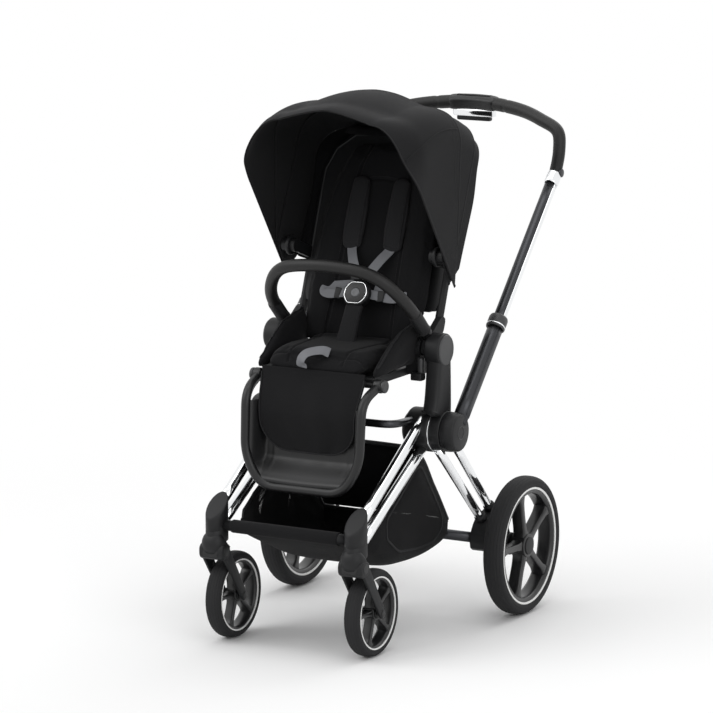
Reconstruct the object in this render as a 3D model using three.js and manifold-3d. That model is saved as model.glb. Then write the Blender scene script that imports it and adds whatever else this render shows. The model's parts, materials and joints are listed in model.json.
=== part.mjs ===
// A compact pushchair: folding tube chassis on two swivelling front wheels and two large rear
// wheels, a reclining padded seat with a bumper bar, legrest and canopy, and a telescopic handle.
// Millimetres. +X is the seated child's left, -Y is forwards, +Z is up. While modelling, y = 0 is
// the main fold hub and z = 0 is the floor; the last line centres the whole on its footprint.
import * as THREE from 'three';
import { mergeVertices } from 'three/addons/utils/BufferGeometryUtils.js';
import Module from 'manifold-3d';

const wasm = await Module();
wasm.setup();

// ---------------------------------------------------------------- driving dimensions

const seatGap = 0.3; // between pieces that bear on each other
const runningGap = 0.8; // between a shaft and its hole, both many-sided

const footprintCentre = 106; // y of the middle of the whole length

// main fold hub and seat pivot
const hubHeight = 425.8;
const housingRadius = 45;
const housingInner = 130;
const housingOuter = 185.5;
const hubPinRadius = 10;
const rearHubRadius = 42;
const rearHubWidth = 25.5;
const pushHubRadius = 36.5;
const pushHubWidth = 30;
const seatPivotHeight = 595;
const bossRadius = 34.6;
const bossInner = 172;
const bossOuter = 209.4;
const pivotPinRadius = 8;

// front wheels and casters
const casterX = 162;
const casterY = -300;
const casterTrail = 64;
const frontWheelRadius = 90;
const frontTyreWidth = 35;
const frontTyreDepth = 19;
const frontWheelFlats = 22; // the tyres are many-sided, and stand on one flat
const forkArmThickness = 6;
const forkArmGap = 4;
const knuckleRadius = 16;
const knuckleAhead = 10;
const knuckleHeight = 198;
const frontAxleRadius = 4;
const towerBase = 215;
const towerHeight = 76;
const towerHalfWidth = 21;
const towerHalfLength = 29;
const towerSlant = 24; // how far its top rises or falls between the middle and an end
const forkArmHalfWidth = 12;

// chassis tubes
const frontTubeX = 165;
const frontTubeRadius = 11;
const frontBarHeight = 250;
const foldBarRadius = 8;
const rearLegRadius = 9.5;
const rearBarRadius = 11;
const rearBarY = 138;
const rearBarHeight = 174;

// rear wheels
const rearWheelX = 269.5;
const rearWheelY = 229.8;
const rearWheelRadius = 147;
const rearTyreWidth = 44;
const rearTyreDepth = 27;
const rearWheelFlats = 26;
const rearAxleRadius = 6;
const rearBracketInner = 203;
const rearBracketWidth = 37;

// push bar
const pushTubeX = 228;
const pushLean = 43.57; // degrees back from upright
const lowerTubeRadius = 16;
const lowerTubeEnd = 290; // distance from the hub, along the tube
const sleeveRadius = 20;
const sleeveLength = 38;
const upperTubeRadius = 12.8;
const upperTubeEnd = 655;
const telescopeIn = 55;
const telescopeOverlap = 60;
const gripRadius = 14;
const leverHalfLength = 40;
const leverTravel = 6;

// seat
const seatHalfWidth = 138;
const cushionThickness = 42;
const cushionFront = -188;
const seatPanTop = 556;
const legrestHingeY = -165;
const legrestHingeZ = 541;
const legrestHalfWidth = 140;
const legrestLength = 215;
const legrestReach = 70; // the rails run this far in front of their hinges
const legrestTubeRadius = 9;
const legrestBend = 60; // height of the bottom corners above the lowest run
const backLean = 20; // degrees back from upright
const backFrameX = 161;
const backFrameTop = 448;
const backTubeRadius = 9;
const backCushionThickness = 27;
const backCushionTop = 430;
const bumperX = 165;
const bumperRadius = 13;
const bumperTilt = 47; // degrees, the sockets lean forwards
const bumperTop = 777;
const bumperFront = -147;
const shoulderPadX = 50;
const shoulderPadDepth = 14;
const shoulderPadFoot = 205;
const shoulderPadTop = 342;

// canopy: three nested panels turned about one axis
const canopyAxisY = 26;
const canopyAxisZ = 782;
const canopyRadius = 334;
const canopyHalfWidth = 200;
const canopyWall = 3;
const canopyStep = 5; // each panel runs inside the one before, by this much less in radius
const canopySideStep = 3.5; // and by this much less at each side
const canopyShoulder = 85;
const canopyCrown = 15;

// basket
const basketHalfWidth = 150;
const basketWall = 3;

// ---------------------------------------------------------------- materials

const finish = (color, roughness, metalness) => ({ color, roughness, metalness });
const finishes = {
  fabric: finish(0x232427, 0.95, 0),
  plastic: finish(0x1c1d1f, 0.55, 0),
  chrome: finish(0xc8cacc, 0.12, 1),
  darkMetal: finish(0x3c3e42, 0.35, 1),
  leather: finish(0x222224, 0.5, 0),
  tyre: finish(0x2c2d2f, 0.85, 0),
  rim: finish(0x17181a, 0.35, 0.2),
  webbing: finish(0x76787c, 0.85, 0),
  button: finish(0x8a8c90, 0.3, 0.7),
};

// ---------------------------------------------------------------- solids

function toSolid(geometry) {
  const bare = geometry.clone();
  bare.deleteAttribute('normal');
  bare.deleteAttribute('uv');
  const merged = mergeVertices(bare);
  return new wasm.Manifold(new wasm.Mesh({
    numProp: 3,
    vertProperties: new Float32Array(merged.attributes.position.array),
    triVerts: new Uint32Array(merged.index.array),
  }));
}

function toGeometry(solid) {
  const mesh = solid.getMesh();
  const geometry = new THREE.BufferGeometry();
  geometry.setAttribute('position', new THREE.BufferAttribute(mesh.vertProperties, 3));
  geometry.setIndex(new THREE.BufferAttribute(mesh.triVerts, 1));
  geometry.computeVertexNormals();
  return geometry;
}

const join = (...solids) => solids.reduce((whole, solid) => whole.add(solid));
const cut = (whole, ...tools) => tools.reduce((left, tool) => left.subtract(tool), whole);

// a point on side +1 or -1 of the middle plane
const at = (side, x, y, z) => new THREE.Vector3(side * x, y, z);

// a round bar along X, from x0 to x1 on one side
function barX(side, radius, x0, x1, y, z, sides = 16) {
  const bar = new THREE.CylinderGeometry(radius, radius, Math.abs(x1 - x0), sides);
  bar.rotateZ(-Math.PI / 2);
  bar.translate(side * (x0 + x1) / 2, y, z);
  return toSolid(bar);
}

// a round rod between two points
function rod(from, to, radius, sides = 12) {
  const axis = to.clone().sub(from);
  const shape = new THREE.CylinderGeometry(radius, radius, axis.length(), sides);
  shape.applyQuaternion(new THREE.Quaternion().setFromUnitVectors(
    new THREE.Vector3(0, 1, 0), axis.normalize()));
  const middle = from.clone().add(to).multiplyScalar(0.5);
  return toSolid(shape.translate(middle.x, middle.y, middle.z));
}

function box(x0, x1, y0, y1, z0, z1) {
  const shape = new THREE.BoxGeometry(Math.abs(x1 - x0), Math.abs(y1 - y0), Math.abs(z1 - z0));
  return toSolid(shape.translate((x0 + x1) / 2, (y0 + y1) / 2, (z0 + z1) / 2));
}

// straight runs joined by rounded corners, as one curve through the given points
function roundedPath(points, cornerLength) {
  const path = new THREE.CurvePath();
  let from = points[0];
  for (let i = 1; i < points.length - 1; i += 1) {
    const corner = points[i];
    const before = points[i - 1].clone().sub(corner);
    const after = points[i + 1].clone().sub(corner);
    const reach = Math.min(cornerLength, before.length() / 2.02, after.length() / 2.02);
    const enter = corner.clone().add(before.setLength(reach));
    const leave = corner.clone().add(after.setLength(reach));
    path.add(new THREE.LineCurve3(from, enter));
    path.add(new THREE.QuadraticBezierCurve3(enter, corner, leave));
    from = leave;
  }
  path.add(new THREE.LineCurve3(from, points[points.length - 1]));
  return path;
}

// a round tube along a path
function bentTube(points, radius, cornerLength, steps, sides = 12) {
  const section = new THREE.Shape().absarc(0, 0, radius, 0, 2 * Math.PI);
  return toSolid(new THREE.ExtrudeGeometry(section, {
    extrudePath: roundedPath(points, cornerLength), steps, curveSegments: sides / 2,
    bevelEnabled: false,
  }));
}

// a closed outline with rounded corners
function roundedShape(points, radius) {
  const corners = points.map(([x, y]) => new THREE.Vector2(x, y));
  const shape = new THREE.Shape();
  corners.forEach((corner, i) => {
    const before = corners[(i + corners.length - 1) % corners.length].clone().sub(corner);
    const after = corners[(i + 1) % corners.length].clone().sub(corner);
    const reach = Math.min(radius, before.length() / 2.1, after.length() / 2.1);
    const enter = corner.clone().add(before.setLength(reach));
    const leave = corner.clone().add(after.setLength(reach));
    if (i === 0) shape.moveTo(enter.x, enter.y);
    else shape.lineTo(enter.x, enter.y);
    if (radius > 0) shape.quadraticCurveTo(corner.x, corner.y, leave.x, leave.y);
  });
  shape.closePath();
  return shape;
}

// an outline drawn in y and z, made solid from x0 to x1; `soften` rounds its rims
function slabX(points, radius, x0, x1, soften = 0) {
  const low = Math.min(x0, x1);
  const width = Math.abs(x1 - x0);
  const slab = new THREE.ExtrudeGeometry(roundedShape(points, radius), {
    depth: width - 2 * soften, curveSegments: 2, steps: 1,
    bevelEnabled: soften > 0, bevelSize: soften, bevelThickness: soften, bevelSegments: 1,
    bevelOffset: -soften,
  });
  slab.applyMatrix4(new THREE.Matrix4().makeBasis(
    new THREE.Vector3(0, 1, 0), new THREE.Vector3(0, 0, 1), new THREE.Vector3(1, 0, 0)));
  return toSolid(slab.translate(low + soften, 0, 0));
}

// an outline drawn in x and z, made solid from y0 (front) to y1 (back)
function slabY(points, radius, y0, y1, soften = 0) {
  const depth = y1 - y0 - 2 * soften;
  const slab = new THREE.ExtrudeGeometry(roundedShape(points, radius), {
    depth, curveSegments: 2, steps: 1,
    bevelEnabled: soften > 0, bevelSize: soften, bevelThickness: soften, bevelSegments: 1,
    bevelOffset: -soften,
  });
  slab.rotateX(Math.PI / 2);
  return toSolid(slab.translate(0, y1 - soften, 0));
}

// a profile of [radius, x] points turned about the X axis, with a flat facing straight down
function turnedX(profile, segments) {
  const points = profile.map(([radius, x]) => new THREE.Vector2(radius, x));
  const shape = new THREE.LatheGeometry(points, segments, Math.PI / segments);
  return toSolid(shape.rotateZ(-Math.PI / 2));
}

// ---------------------------------------------------------------- assembly

const pushchair = new THREE.Group();

function place(name, solid, look, parent = pushchair) {
  const mesh = new THREE.Mesh(toGeometry(solid), new THREE.MeshStandardMaterial(look));
  mesh.name = name;
  parent.add(mesh);
  return mesh;
}

const sides = [[-1, 'left'], [1, 'right']];
const bothSides = (make) => sides.forEach(([side, word]) => make(side, word));

// ---------------------------------------------------------------- hub housings and seat posts

const rearHubInner = housingOuter + seatGap;
const rearHubOuter = rearHubInner + rearHubWidth;
const pushHubInner = rearHubOuter + seatGap;
const pushHubOuter = pushHubInner + pushHubWidth;
const pinEnd = pushHubOuter - 4;

const housingBody = (side, extra) => barX(
  side, housingRadius + extra, housingInner - extra, housingOuter, 0, hubHeight, 24);
const pinHole = (side) => barX(
  side, hubPinRadius + runningGap, housingOuter - 1, pinEnd + seatGap, 0, hubHeight, 16);

function hubHousing(side) {
  return join(
    housingBody(side, 0),
    barX(side, hubPinRadius, housingOuter - 1, pinEnd, 0, hubHeight),
  );
}

function seatPost(side) {
  const foot = hubHeight + 8 + 2 * frontTubeRadius;
  const outline = [
    [-64, foot], [32, foot], [26, seatPivotHeight - 15], [-26, seatPivotHeight - 15],
    [-52, hubHeight + 78],
  ];
  return join(
    cut(
      slabX(outline, 10, side * bossInner, side * (bossOuter - 2)),
      barX(side, housingRadius + seatGap, 0, bossOuter, 0, hubHeight, 24),
    ),
    barX(side, bossRadius, bossInner, bossOuter, 0, seatPivotHeight, 24),
    barX(side, pivotPinRadius, seatHalfWidth + 4, bossInner + 1, 0, seatPivotHeight),
  );
}

// ---------------------------------------------------------------- front frame

function towerBody(side, extra) {
  const oval = new THREE.Shape().absellipse(
    0, 0, towerHalfWidth + extra, towerHalfLength + extra, 0, 2 * Math.PI);
  const post = new THREE.ExtrudeGeometry(oval, {
    depth: towerHeight + towerSlant, curveSegments: 10, bevelEnabled: false,
  });
  return toSolid(post.translate(side * casterX, casterY, towerBase));
}

function swivelTower(side) {
  const slope = towerSlant / towerHalfLength;
  const top = towerBase + towerHeight;
  const reach = 2 * towerHalfLength;
  const above = [
    [casterY - reach, top - slope * reach / 2], [casterY + reach, top + slope * reach / 2],
    [casterY + reach, top + 3 * reach], [casterY - reach, top + 3 * reach],
  ];
  const edge = side * casterX;
  const width = 2 * towerHalfWidth;
  return cut(towerBody(side, 0), slabX(above, 0, edge - width, edge + width));
}

function frontTube(side, top, bottom) {
  return cut(
    rod(at(side, frontTubeX, ...top), at(side, frontTubeX, ...bottom), frontTubeRadius),
    housingBody(side, seatGap), towerBody(side, seatGap),
  );
}

function frontBar() {
  const bar = barX(1, frontTubeRadius, -casterX, casterX, casterY, frontBarHeight, 14);
  return cut(bar, towerBody(-1, seatGap), towerBody(1, seatGap));
}

function foldBar() {
  const arm = frontTubeX - frontTubeRadius - foldBarRadius - 1;
  const points = [
    at(-1, arm, -20, hubHeight + 22), at(-1, arm, -119, hubHeight + 28),
    at(1, arm, -119, hubHeight + 28), at(1, arm, -20, hubHeight + 22),
  ];
  return cut(
    bentTube(points, foldBarRadius, 34, 14, 8),
    housingBody(-1, seatGap), housingBody(1, seatGap),
  );
}

bothSides((side, word) => {
  place(`hub_housing_${word}`, hubHousing(side), finishes.plastic);
  place(`seat_post_${word}`, seatPost(side), finishes.plastic);
  place(`swivel_tower_${word}`, swivelTower(side), finishes.plastic);
  const upper = frontTube(
    side, [-20, hubHeight + 27], [casterY + 20, hubHeight - 137.5]);
  const lower = frontTube(
    side, [-20, hubHeight - 33], [casterY + 24, hubHeight - 180]);
  place(`front_upper_tube_${word}`, upper, finishes.chrome);
  place(`front_lower_tube_${word}`, lower, finishes.chrome);
});
place('front_crossbar', frontBar(), finishes.plastic);
place('fold_bar', foldBar(), finishes.darkMetal);

// ---------------------------------------------------------------- wheels

function tyre(radius, width, depth, segments) {
  const outer = radius / Math.cos(Math.PI / segments);
  const half = width / 2;
  const crown = half * 0.45;
  return turnedX([
    [outer, -crown], [outer, crown], [outer - 0.14 * depth, half * 0.8], [outer - 0.4 * depth, half],
    [outer - depth, half * 0.72], [outer - depth, -half * 0.72],
    [outer - 0.4 * depth, -half], [outer - 0.14 * depth, -half * 0.8], [outer, -crown],
  ], segments);
}

// five straight spokes between a hub and a ring, bored for the axle
function rim(tyreRadius, tyreWidth, tyreDepth, segments, axleRadius) {
  const outer = tyreRadius / Math.cos(Math.PI / segments) - tyreDepth - 1;
  const inner = outer * 0.88;
  const half = tyreWidth * 0.36;
  const hub = outer * 0.24;
  const ring = turnedX([
    [inner, -half], [outer, -half], [outer, half], [inner, half], [inner, -half],
  ], segments);
  const spokes = [0, 1, 2, 3, 4].map((i) => {
    const spoke = new THREE.BoxGeometry(half, outer * 0.17, inner + 2);
    spoke.translate(0, 0, (inner + 2) / 2);
    return toSolid(spoke.rotateX(i * 2 * Math.PI / 5));
  });
  const whole = join(ring, barX(1, hub, -half, half, 0, 0, 14), ...spokes);
  return cut(whole, barX(1, axleRadius + runningGap, -half - 1, half + 1, 0, 0, 10));
}

function wheel(name, word, radius, width, depth, segments, axleRadius, centre) {
  const group = new THREE.Group();
  group.position.copy(centre);
  pushchair.add(group);
  place(`${name}_tyre_${word}`, tyre(radius, width, depth, segments), finishes.tyre, group);
  place(`${name}_rim_${word}`, rim(radius, width, depth, segments, axleRadius), finishes.rim, group);
}

function fork(side) {
  const axleY = casterY + casterTrail;
  const knuckleY = casterY - knuckleAhead;
  const inside = frontTyreWidth / 2 + forkArmGap;
  const outside = inside + forkArmThickness;
  const along = new THREE.Vector2(axleY - knuckleY, frontWheelRadius - knuckleHeight);
  const across = new THREE.Vector2(-along.y, along.x).setLength(forkArmHalfWidth);
  const ends = along.clone().setLength(10);
  const outline = [
    [knuckleY - ends.x + across.x, knuckleHeight - ends.y + across.y],
    [knuckleY - ends.x - across.x, knuckleHeight - ends.y - across.y],
    [axleY + ends.x - across.x * 0.8, frontWheelRadius + ends.y - across.y * 0.8],
    [axleY + ends.x + across.x * 0.8, frontWheelRadius + ends.y + across.y * 0.8],
  ];
  const arms = [-1, 1].map((edge) => {
    const near = side * casterX + edge * inside;
    return slabX(outline, 8, near, near + edge * forkArmThickness);
  });
  return join(
    barX(side, knuckleRadius, casterX - outside, casterX + outside, knuckleY, knuckleHeight),
    rod(at(side, casterX, casterY, knuckleHeight - 4),
      at(side, casterX, casterY, towerBase - seatGap), knuckleRadius, 16),
    barX(side, frontAxleRadius, casterX - outside, casterX + outside, axleY, frontWheelRadius, 12),
    ...arms,
  );
}

bothSides((side, word) => {
  place(`caster_fork_${word}`, fork(side), finishes.plastic);
  wheel('front', word, frontWheelRadius, frontTyreWidth, frontTyreDepth, frontWheelFlats, frontAxleRadius,
    at(side, casterX, casterY + casterTrail, frontWheelRadius));
  wheel('rear', word, rearWheelRadius, rearTyreWidth, rearTyreDepth, rearWheelFlats, rearAxleRadius,
    at(side, rearWheelX, rearWheelY, rearWheelRadius));
});

// ---------------------------------------------------------------- rear frame

const legTop = { front: [-20, hubHeight - 34], rear: [60, hubHeight - 42] };
const legFoot = { front: [rearBarY + 15, rearBarHeight + 31], rear: [rearBarY + 54, rearBarHeight + 46] };

function legTube(side, which, extra) {
  return rod(at(side, rearHubInner + rearHubWidth / 2, ...legTop[which]),
    at(side, rearBracketInner + 14, ...legFoot[which]), rearLegRadius + extra);
}

const rearHubDisc = (side, extra) => barX(
  side, rearHubRadius + extra, rearHubInner, rearHubOuter, 0, hubHeight, 24);

// the front leg carries the hub disc; the rear leg bears on its rim
const rearLegFront = (side) => cut(
  join(rearHubDisc(side, 0), legTube(side, 'front', 0)), pinHole(side));
const rearLegBack = (side) => cut(
  legTube(side, 'rear', 0), rearHubDisc(side, seatGap), legTube(side, 'front', seatGap));

const rearBar = (extra) => barX(
  1, rearBarRadius + extra, -rearBracketInner - 24 - extra, rearBracketInner + 24 + extra,
  rearBarY, rearBarHeight, 14);

function rearBracket(side) {
  const edge = rearBracketInner + rearBracketWidth;
  const outline = [
    [rearBarY - 20, rearBarHeight - 22], [rearWheelY - 6, rearWheelRadius - 22],
    [rearWheelY + 20, rearWheelRadius - 6], [rearWheelY + 4, rearWheelRadius + 22],
    [legFoot.rear[0] + 8, legFoot.rear[1] + 12], [legFoot.front[0] - 12, legFoot.front[1] + 10],
    [rearBarY - 20, rearBarHeight + 10],
  ];
  const axle = barX(side, rearAxleRadius, edge - 1, rearWheelX + rearTyreWidth * 0.3,
    rearWheelY, rearWheelRadius, 12);
  const body = cut(
    slabX(outline, 14, side * rearBracketInner, side * edge),
    legTube(side, 'front', seatGap), legTube(side, 'rear', seatGap), rearBar(seatGap),
  );
  return join(body, axle);
}

function brakePedal() {
  const collar = barX(1, rearBarRadius + 6, -38, 38, rearBarY, rearBarHeight, 20);
  const tread = box(-30, 30, rearBarY + 8, rearBarY + 62, rearBarHeight + 2, rearBarHeight + 10);
  return cut(join(collar, tread), rearBar(runningGap + 0.2));
}

bothSides((side, word) => {
  place(`rear_front_leg_${word}`, rearLegFront(side), finishes.chrome);
  place(`rear_back_leg_${word}`, rearLegBack(side), finishes.chrome);
  place(`rear_bracket_${word}`, rearBracket(side), finishes.plastic);
});
place('rear_crossbar', rearBar(0), finishes.darkMetal);
place('brake_pedal', brakePedal(), finishes.plastic);

// ---------------------------------------------------------------- push bar

const pushDirection = new THREE.Vector3(
  0, Math.sin(THREE.MathUtils.degToRad(pushLean)), Math.cos(THREE.MathUtils.degToRad(pushLean)));
const alongPush = (side, distance) => at(side, pushTubeX, 0, hubHeight).addScaledVector(
  pushDirection, distance);
const upperTubeStart = lowerTubeEnd - telescopeOverlap;

function pushTubeLower(side) {
  const hub = barX(side, pushHubRadius, pushHubInner, pushHubOuter, 0, hubHeight, 24);
  const tube = rod(alongPush(side, 20), alongPush(side, lowerTubeEnd), lowerTubeRadius, 14);
  const boreStart = alongPush(side, upperTubeStart - telescopeIn - 8);
  const boreRadius = (upperTubeRadius + 0.3) / Math.cos(Math.PI / 14);
  const bore = rod(boreStart, alongPush(side, lowerTubeEnd + 5), boreRadius, 14);
  return cut(join(hub, tube), bore, pinHole(side));
}

function clampSleeve(side) {
  const low = alongPush(side, lowerTubeEnd - sleeveLength + 8);
  const high = alongPush(side, lowerTubeEnd - 0.5);
  const body = rod(low, high, sleeveRadius, 14);
  const boreRadius = (lowerTubeRadius + 0.3) / Math.cos(Math.PI / 14);
  const bore = rod(alongPush(side, lowerTubeEnd - sleeveLength),
    alongPush(side, lowerTubeEnd + 5), boreRadius, 14);
  return cut(body, bore);
}

const gripCentre = [527, 1043];
const gripPath = (side) => [
  alongPush(side, upperTubeEnd + seatGap), alongPush(side, upperTubeEnd + 12),
  at(side, pushTubeX + 7, 464, 957),
  at(side, pushTubeX, 471, 996), at(side, pushTubeX - 46, 484, 1018),
  at(side, pushTubeX - 108, 505, 1034),
];

function leverPocket(extra) {
  const [y, z] = gripCentre;
  return box(-leverHalfLength - extra, leverHalfLength + extra, y - 7 - extra, y + 7 + extra,
    z - gripRadius - 27, z - gripRadius - (extra > 0 ? 3 : 3 + leverTravel + 1));
}

function handlebar() {
  const [y, z] = gripCentre;
  const points = [...gripPath(-1), at(1, 0, y, z), ...gripPath(1).reverse()];
  const curve = new THREE.CatmullRomCurve3(points, false, 'centripetal');
  const section = new THREE.Shape().absarc(0, 0, gripRadius, 0, 2 * Math.PI);
  const grip = toSolid(new THREE.ExtrudeGeometry(section, {
    extrudePath: curve, steps: 30, curveSegments: 5, bevelEnabled: false,
  }));
  const trim = box(-leverHalfLength - 9, leverHalfLength + 9, y - 10, y + 10,
    z - gripRadius - 19, z - gripRadius / 2);
  return cut(join(grip, trim), leverPocket(0.5));
}

bothSides((side, word) => {
  place(`push_tube_lower_${word}`, pushTubeLower(side), finishes.darkMetal);
  place(`clamp_sleeve_${word}`, clampSleeve(side), finishes.plastic);
  const upper = rod(alongPush(side, upperTubeStart), alongPush(side, upperTubeEnd),
    upperTubeRadius, 14);
  place(`push_tube_upper_${word}`, upper, finishes.darkMetal);
});
place('handlebar', handlebar(), finishes.leather);
place('adjuster_lever', leverPocket(0), finishes.plastic);

// ---------------------------------------------------------------- seat

const earInner = bossInner - 31;
const earOuter = bossInner - 14.5;

function seatBase() {
  const pan = slabX([
    [legrestHingeY + 3, seatPanTop - 16], [legrestHingeY + 3, seatPanTop], [8, seatPanTop],
    [8, seatPanTop - 16],
  ], 4, -seatHalfWidth + 10, seatHalfWidth - 10);
  const rodReach = legrestHalfWidth + legrestTubeRadius + 1;
  const hingeRod = barX(1, 6, -rodReach - 6, rodReach + 6, legrestHingeY, legrestHingeZ, 12);
  const perSide = sides.flatMap(([side]) => [
    barX(side, 25, earInner, earOuter, 0, seatPivotHeight, 20),
    box(side * (seatHalfWidth - 14), side * earOuter, -20, 20, seatPanTop - 14, seatPivotHeight - 10),
    barX(side, 12, rodReach + seatGap, rodReach + 6, legrestHingeY, legrestHingeZ, 16),
  ]);
  const holes = sides.map(([side]) => barX(
    side, pivotPinRadius + 0.5, earInner - 1, earOuter + 1, 0, seatPivotHeight));
  return cut(join(pan, hingeRod, ...perSide), ...holes);
}

function seatCushion() {
  const low = seatPanTop + seatGap;
  const outline = [
    [cushionFront, low], [cushionFront, low + cushionThickness * 0.62],
    [cushionFront + 40, low + cushionThickness * 0.85], [-75, low + cushionThickness],
    [-6, low + cushionThickness], [-6, low],
  ];
  const half = seatHalfWidth - 14 - seatGap;
  return slabX(outline, 9, -half, half, 7);
}

function hipWing(side) {
  const low = seatPanTop + seatGap;
  const outline = [
    [cushionFront + 10, low], [cushionFront + 12, low + 42], [-110, low + 58], [-60, low + 80],
    [-28, low + 84], [-28, low],
  ];
  const inner = seatHalfWidth - 14 + seatGap;
  return slabX(outline, 14, side * inner, side * (inner + 22), 5);
}

// crotch strap, buckle and its button share one leaning plane
const strapBase = new THREE.Vector3(0, -52, seatPanTop + cushionThickness + 2);
const strapTip = new THREE.Vector3(0, -10, 676);
const strapLean = Math.atan2(strapTip.y - strapBase.y, strapTip.z - strapBase.z);
const strapLength = strapTip.distanceTo(strapBase);
const buckleHeight = 56;
const buckleWidth = 52;
const buckleDepth = 20;
const buttonRadius = 12;

function onStrap(outline, radius, y0, y1, soften) {
  return slabY(outline, radius, y0, y1, soften)
    .rotate([-THREE.MathUtils.radToDeg(strapLean), 0, 0])
    .translate([0, strapBase.y, strapBase.z]);
}

const rectangle = (half, low, high) => [[-half, low], [half, low], [half, high], [-half, high]];

function crotchPad() {
  const body = onStrap(rectangle(17, -12, strapLength), 9, -6, 7, 3);
  const seatTop = box(-60, 60, cushionFront, 0, seatPanTop, seatPanTop + cushionThickness + 2 * seatGap);
  return cut(body, seatTop);
}

function buckleOutline(grow) {
  const half = buckleWidth / 2 + grow;
  const low = strapLength + seatGap - grow;
  const high = low + buckleHeight + 2 * grow;
  return [
    [-half * 0.6, low], [half * 0.6, low], [half, low + 16], [half, high - 18],
    [half * 0.55, high], [-half * 0.55, high], [-half, high - 18], [-half, low + 16],
  ];
}

const buckleMiddle = strapLength + buckleHeight / 2;

function buckleDisc(radius, y0, y1) {
  const disc = new THREE.CylinderGeometry(radius, radius, y1 - y0, 18);
  disc.translate(0, (y0 + y1) / 2, buckleMiddle);
  return toSolid(disc).rotate([-THREE.MathUtils.radToDeg(strapLean), 0, 0])
    .translate([0, strapBase.y, strapBase.z]);
}

const buckleFront = -buckleDepth / 2;
const buckleHousing = () => cut(
  onStrap(buckleOutline(0), 9, buckleFront, buckleDepth / 2, 3),
  buckleDisc(buttonRadius + runningGap, buckleFront - 1, buckleFront + 9));
const buckleButton = () => buckleDisc(buttonRadius, buckleFront - 1.5, buckleFront + 5);

// a strap between the buckle and the foot of a shoulder pad
function harnessWebbing(side) {
  const lean = THREE.MathUtils.degToRad(backLean);
  const strapDirection = strapTip.clone().sub(strapBase).normalize();
  const from = strapTip.clone().addScaledVector(strapDirection, buckleHeight - 10).setX(side * 14);
  const to = at(side, shoulderPadX, -shoulderPadDepth / 2, shoulderPadFoot + 4)
    .applyAxisAngle(new THREE.Vector3(1, 0, 0), -lean);
  to.z += seatPivotHeight;
  const axis = to.clone().sub(from);
  const strip = new THREE.BoxGeometry(22, axis.length(), 2.2);
  strip.applyQuaternion(new THREE.Quaternion().setFromUnitVectors(
    new THREE.Vector3(0, 1, 0), axis.normalize()));
  const middle = from.clone().add(to).multiplyScalar(0.5);
  const whole = toSolid(strip.translate(middle.x, middle.y, middle.z));
  const padZone = slabY(rectangle(90, shoulderPadFoot - seatGap, shoulderPadFoot + 60), 0, -40, 10)
    .rotate([-backLean, 0, 0]).translate([0, 0, seatPivotHeight]);
  return cut(whole, padZone,
    onStrap(buckleOutline(0.5), 9, buckleFront - 1, buckleDepth / 2 + 1, 0));
}

place('seat_base', seatBase(), finishes.plastic);
place('seat_cushion', seatCushion(), finishes.fabric);
place('crotch_pad', crotchPad(), finishes.fabric);
place('buckle_housing', buckleHousing(), finishes.plastic);
place('buckle_button', buckleButton(), finishes.button);
bothSides((side, word) => {
  place(`hip_wing_${word}`, hipWing(side), finishes.fabric);
  place(`harness_webbing_${word}`, harnessWebbing(side), finishes.webbing);
});

// ---------------------------------------------------------------- bumper bar

const tilt = THREE.MathUtils.degToRad(bumperTilt);
const bumperDirection = new THREE.Vector3(0, -Math.sin(tilt), Math.cos(tilt));
const socketTop = [-20, seatPivotHeight + 42];
const socketLength = 46;
const alongSocket = (side, distance) => at(side, bumperX, ...socketTop).addScaledVector(
  bumperDirection, distance);

function bumperSocket(side) {
  const body = rod(alongSocket(side, -socketLength), alongSocket(side, 0), bumperRadius + 1, 14);
  return cut(body, barX(side, bossRadius + seatGap, 0, bossOuter + 5, 0, seatPivotHeight, 24));
}

function bumperBar() {
  const knee = (bumperTop - socketTop[1]) * 0.62;
  const end = (side) => [alongSocket(side, 0.5), alongSocket(side, knee)];
  const corner = (side) => at(side, bumperX * 0.7, bumperFront + 13, bumperTop - 13);
  const points = [
    ...end(-1), corner(-1), at(1, 0, bumperFront, bumperTop), corner(1), ...end(1).reverse(),
  ];
  return bentTube(points, bumperRadius, 46, 24, 10);
}

bothSides((side, word) => {
  place(`bumper_socket_${word}`, bumperSocket(side), finishes.plastic);
});
place('bumper_bar', bumperBar(), finishes.leather);

// ---------------------------------------------------------------- legrest

// down one side, across below the feet and up the other side
function legrestTube(radius) {
  const low = legrestHingeZ - legrestLength;
  const points = sides.flatMap(([side]) => {
    const run = [
      at(side, legrestHalfWidth, legrestHingeY, legrestHingeZ),
      at(side, legrestHalfWidth - 5, legrestHingeY - legrestReach + 8, legrestHingeZ - 24),
      at(side, legrestHalfWidth - 7, legrestHingeY - legrestReach, low + legrestBend),
      at(side, legrestHalfWidth - 45, legrestHingeY - legrestReach - 3, low),
    ];
    return side < 0 ? run : run.reverse();
  });
  return bentTube(points, radius, 44, 22, 8);
}

function legrestFrame() {
  const eyes = sides.map(([side]) => barX(
    side, 14, legrestHalfWidth - 8.5, legrestHalfWidth + legrestTubeRadius,
    legrestHingeY, legrestHingeZ, 18));
  const hole = barX(1, 6.9, -legrestHalfWidth - 20, legrestHalfWidth + 20,
    legrestHingeY, legrestHingeZ, 16);
  return cut(join(legrestTube(legrestTubeRadius), ...eyes), hole);
}

function legrestTray() {
  const half = legrestHalfWidth - 7;
  const slope = THREE.MathUtils.radToDeg(Math.atan2(10, legrestLength - legrestBend));
  const outline = [
    [-half, 40 - legrestLength], [-half + 44, 6 - legrestLength], [half - 44, 6 - legrestLength],
    [half, 40 - legrestLength], [half, -42], [-half, -42],
  ];
  const panel = slabY(outline, 26, -5, 5, 2).rotate([-slope, 0, 0])
    .translate([0, legrestHingeY - legrestReach + 10, legrestHingeZ]);
  return cut(panel, legrestTube(legrestTubeRadius + 2 * seatGap));
}

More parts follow.
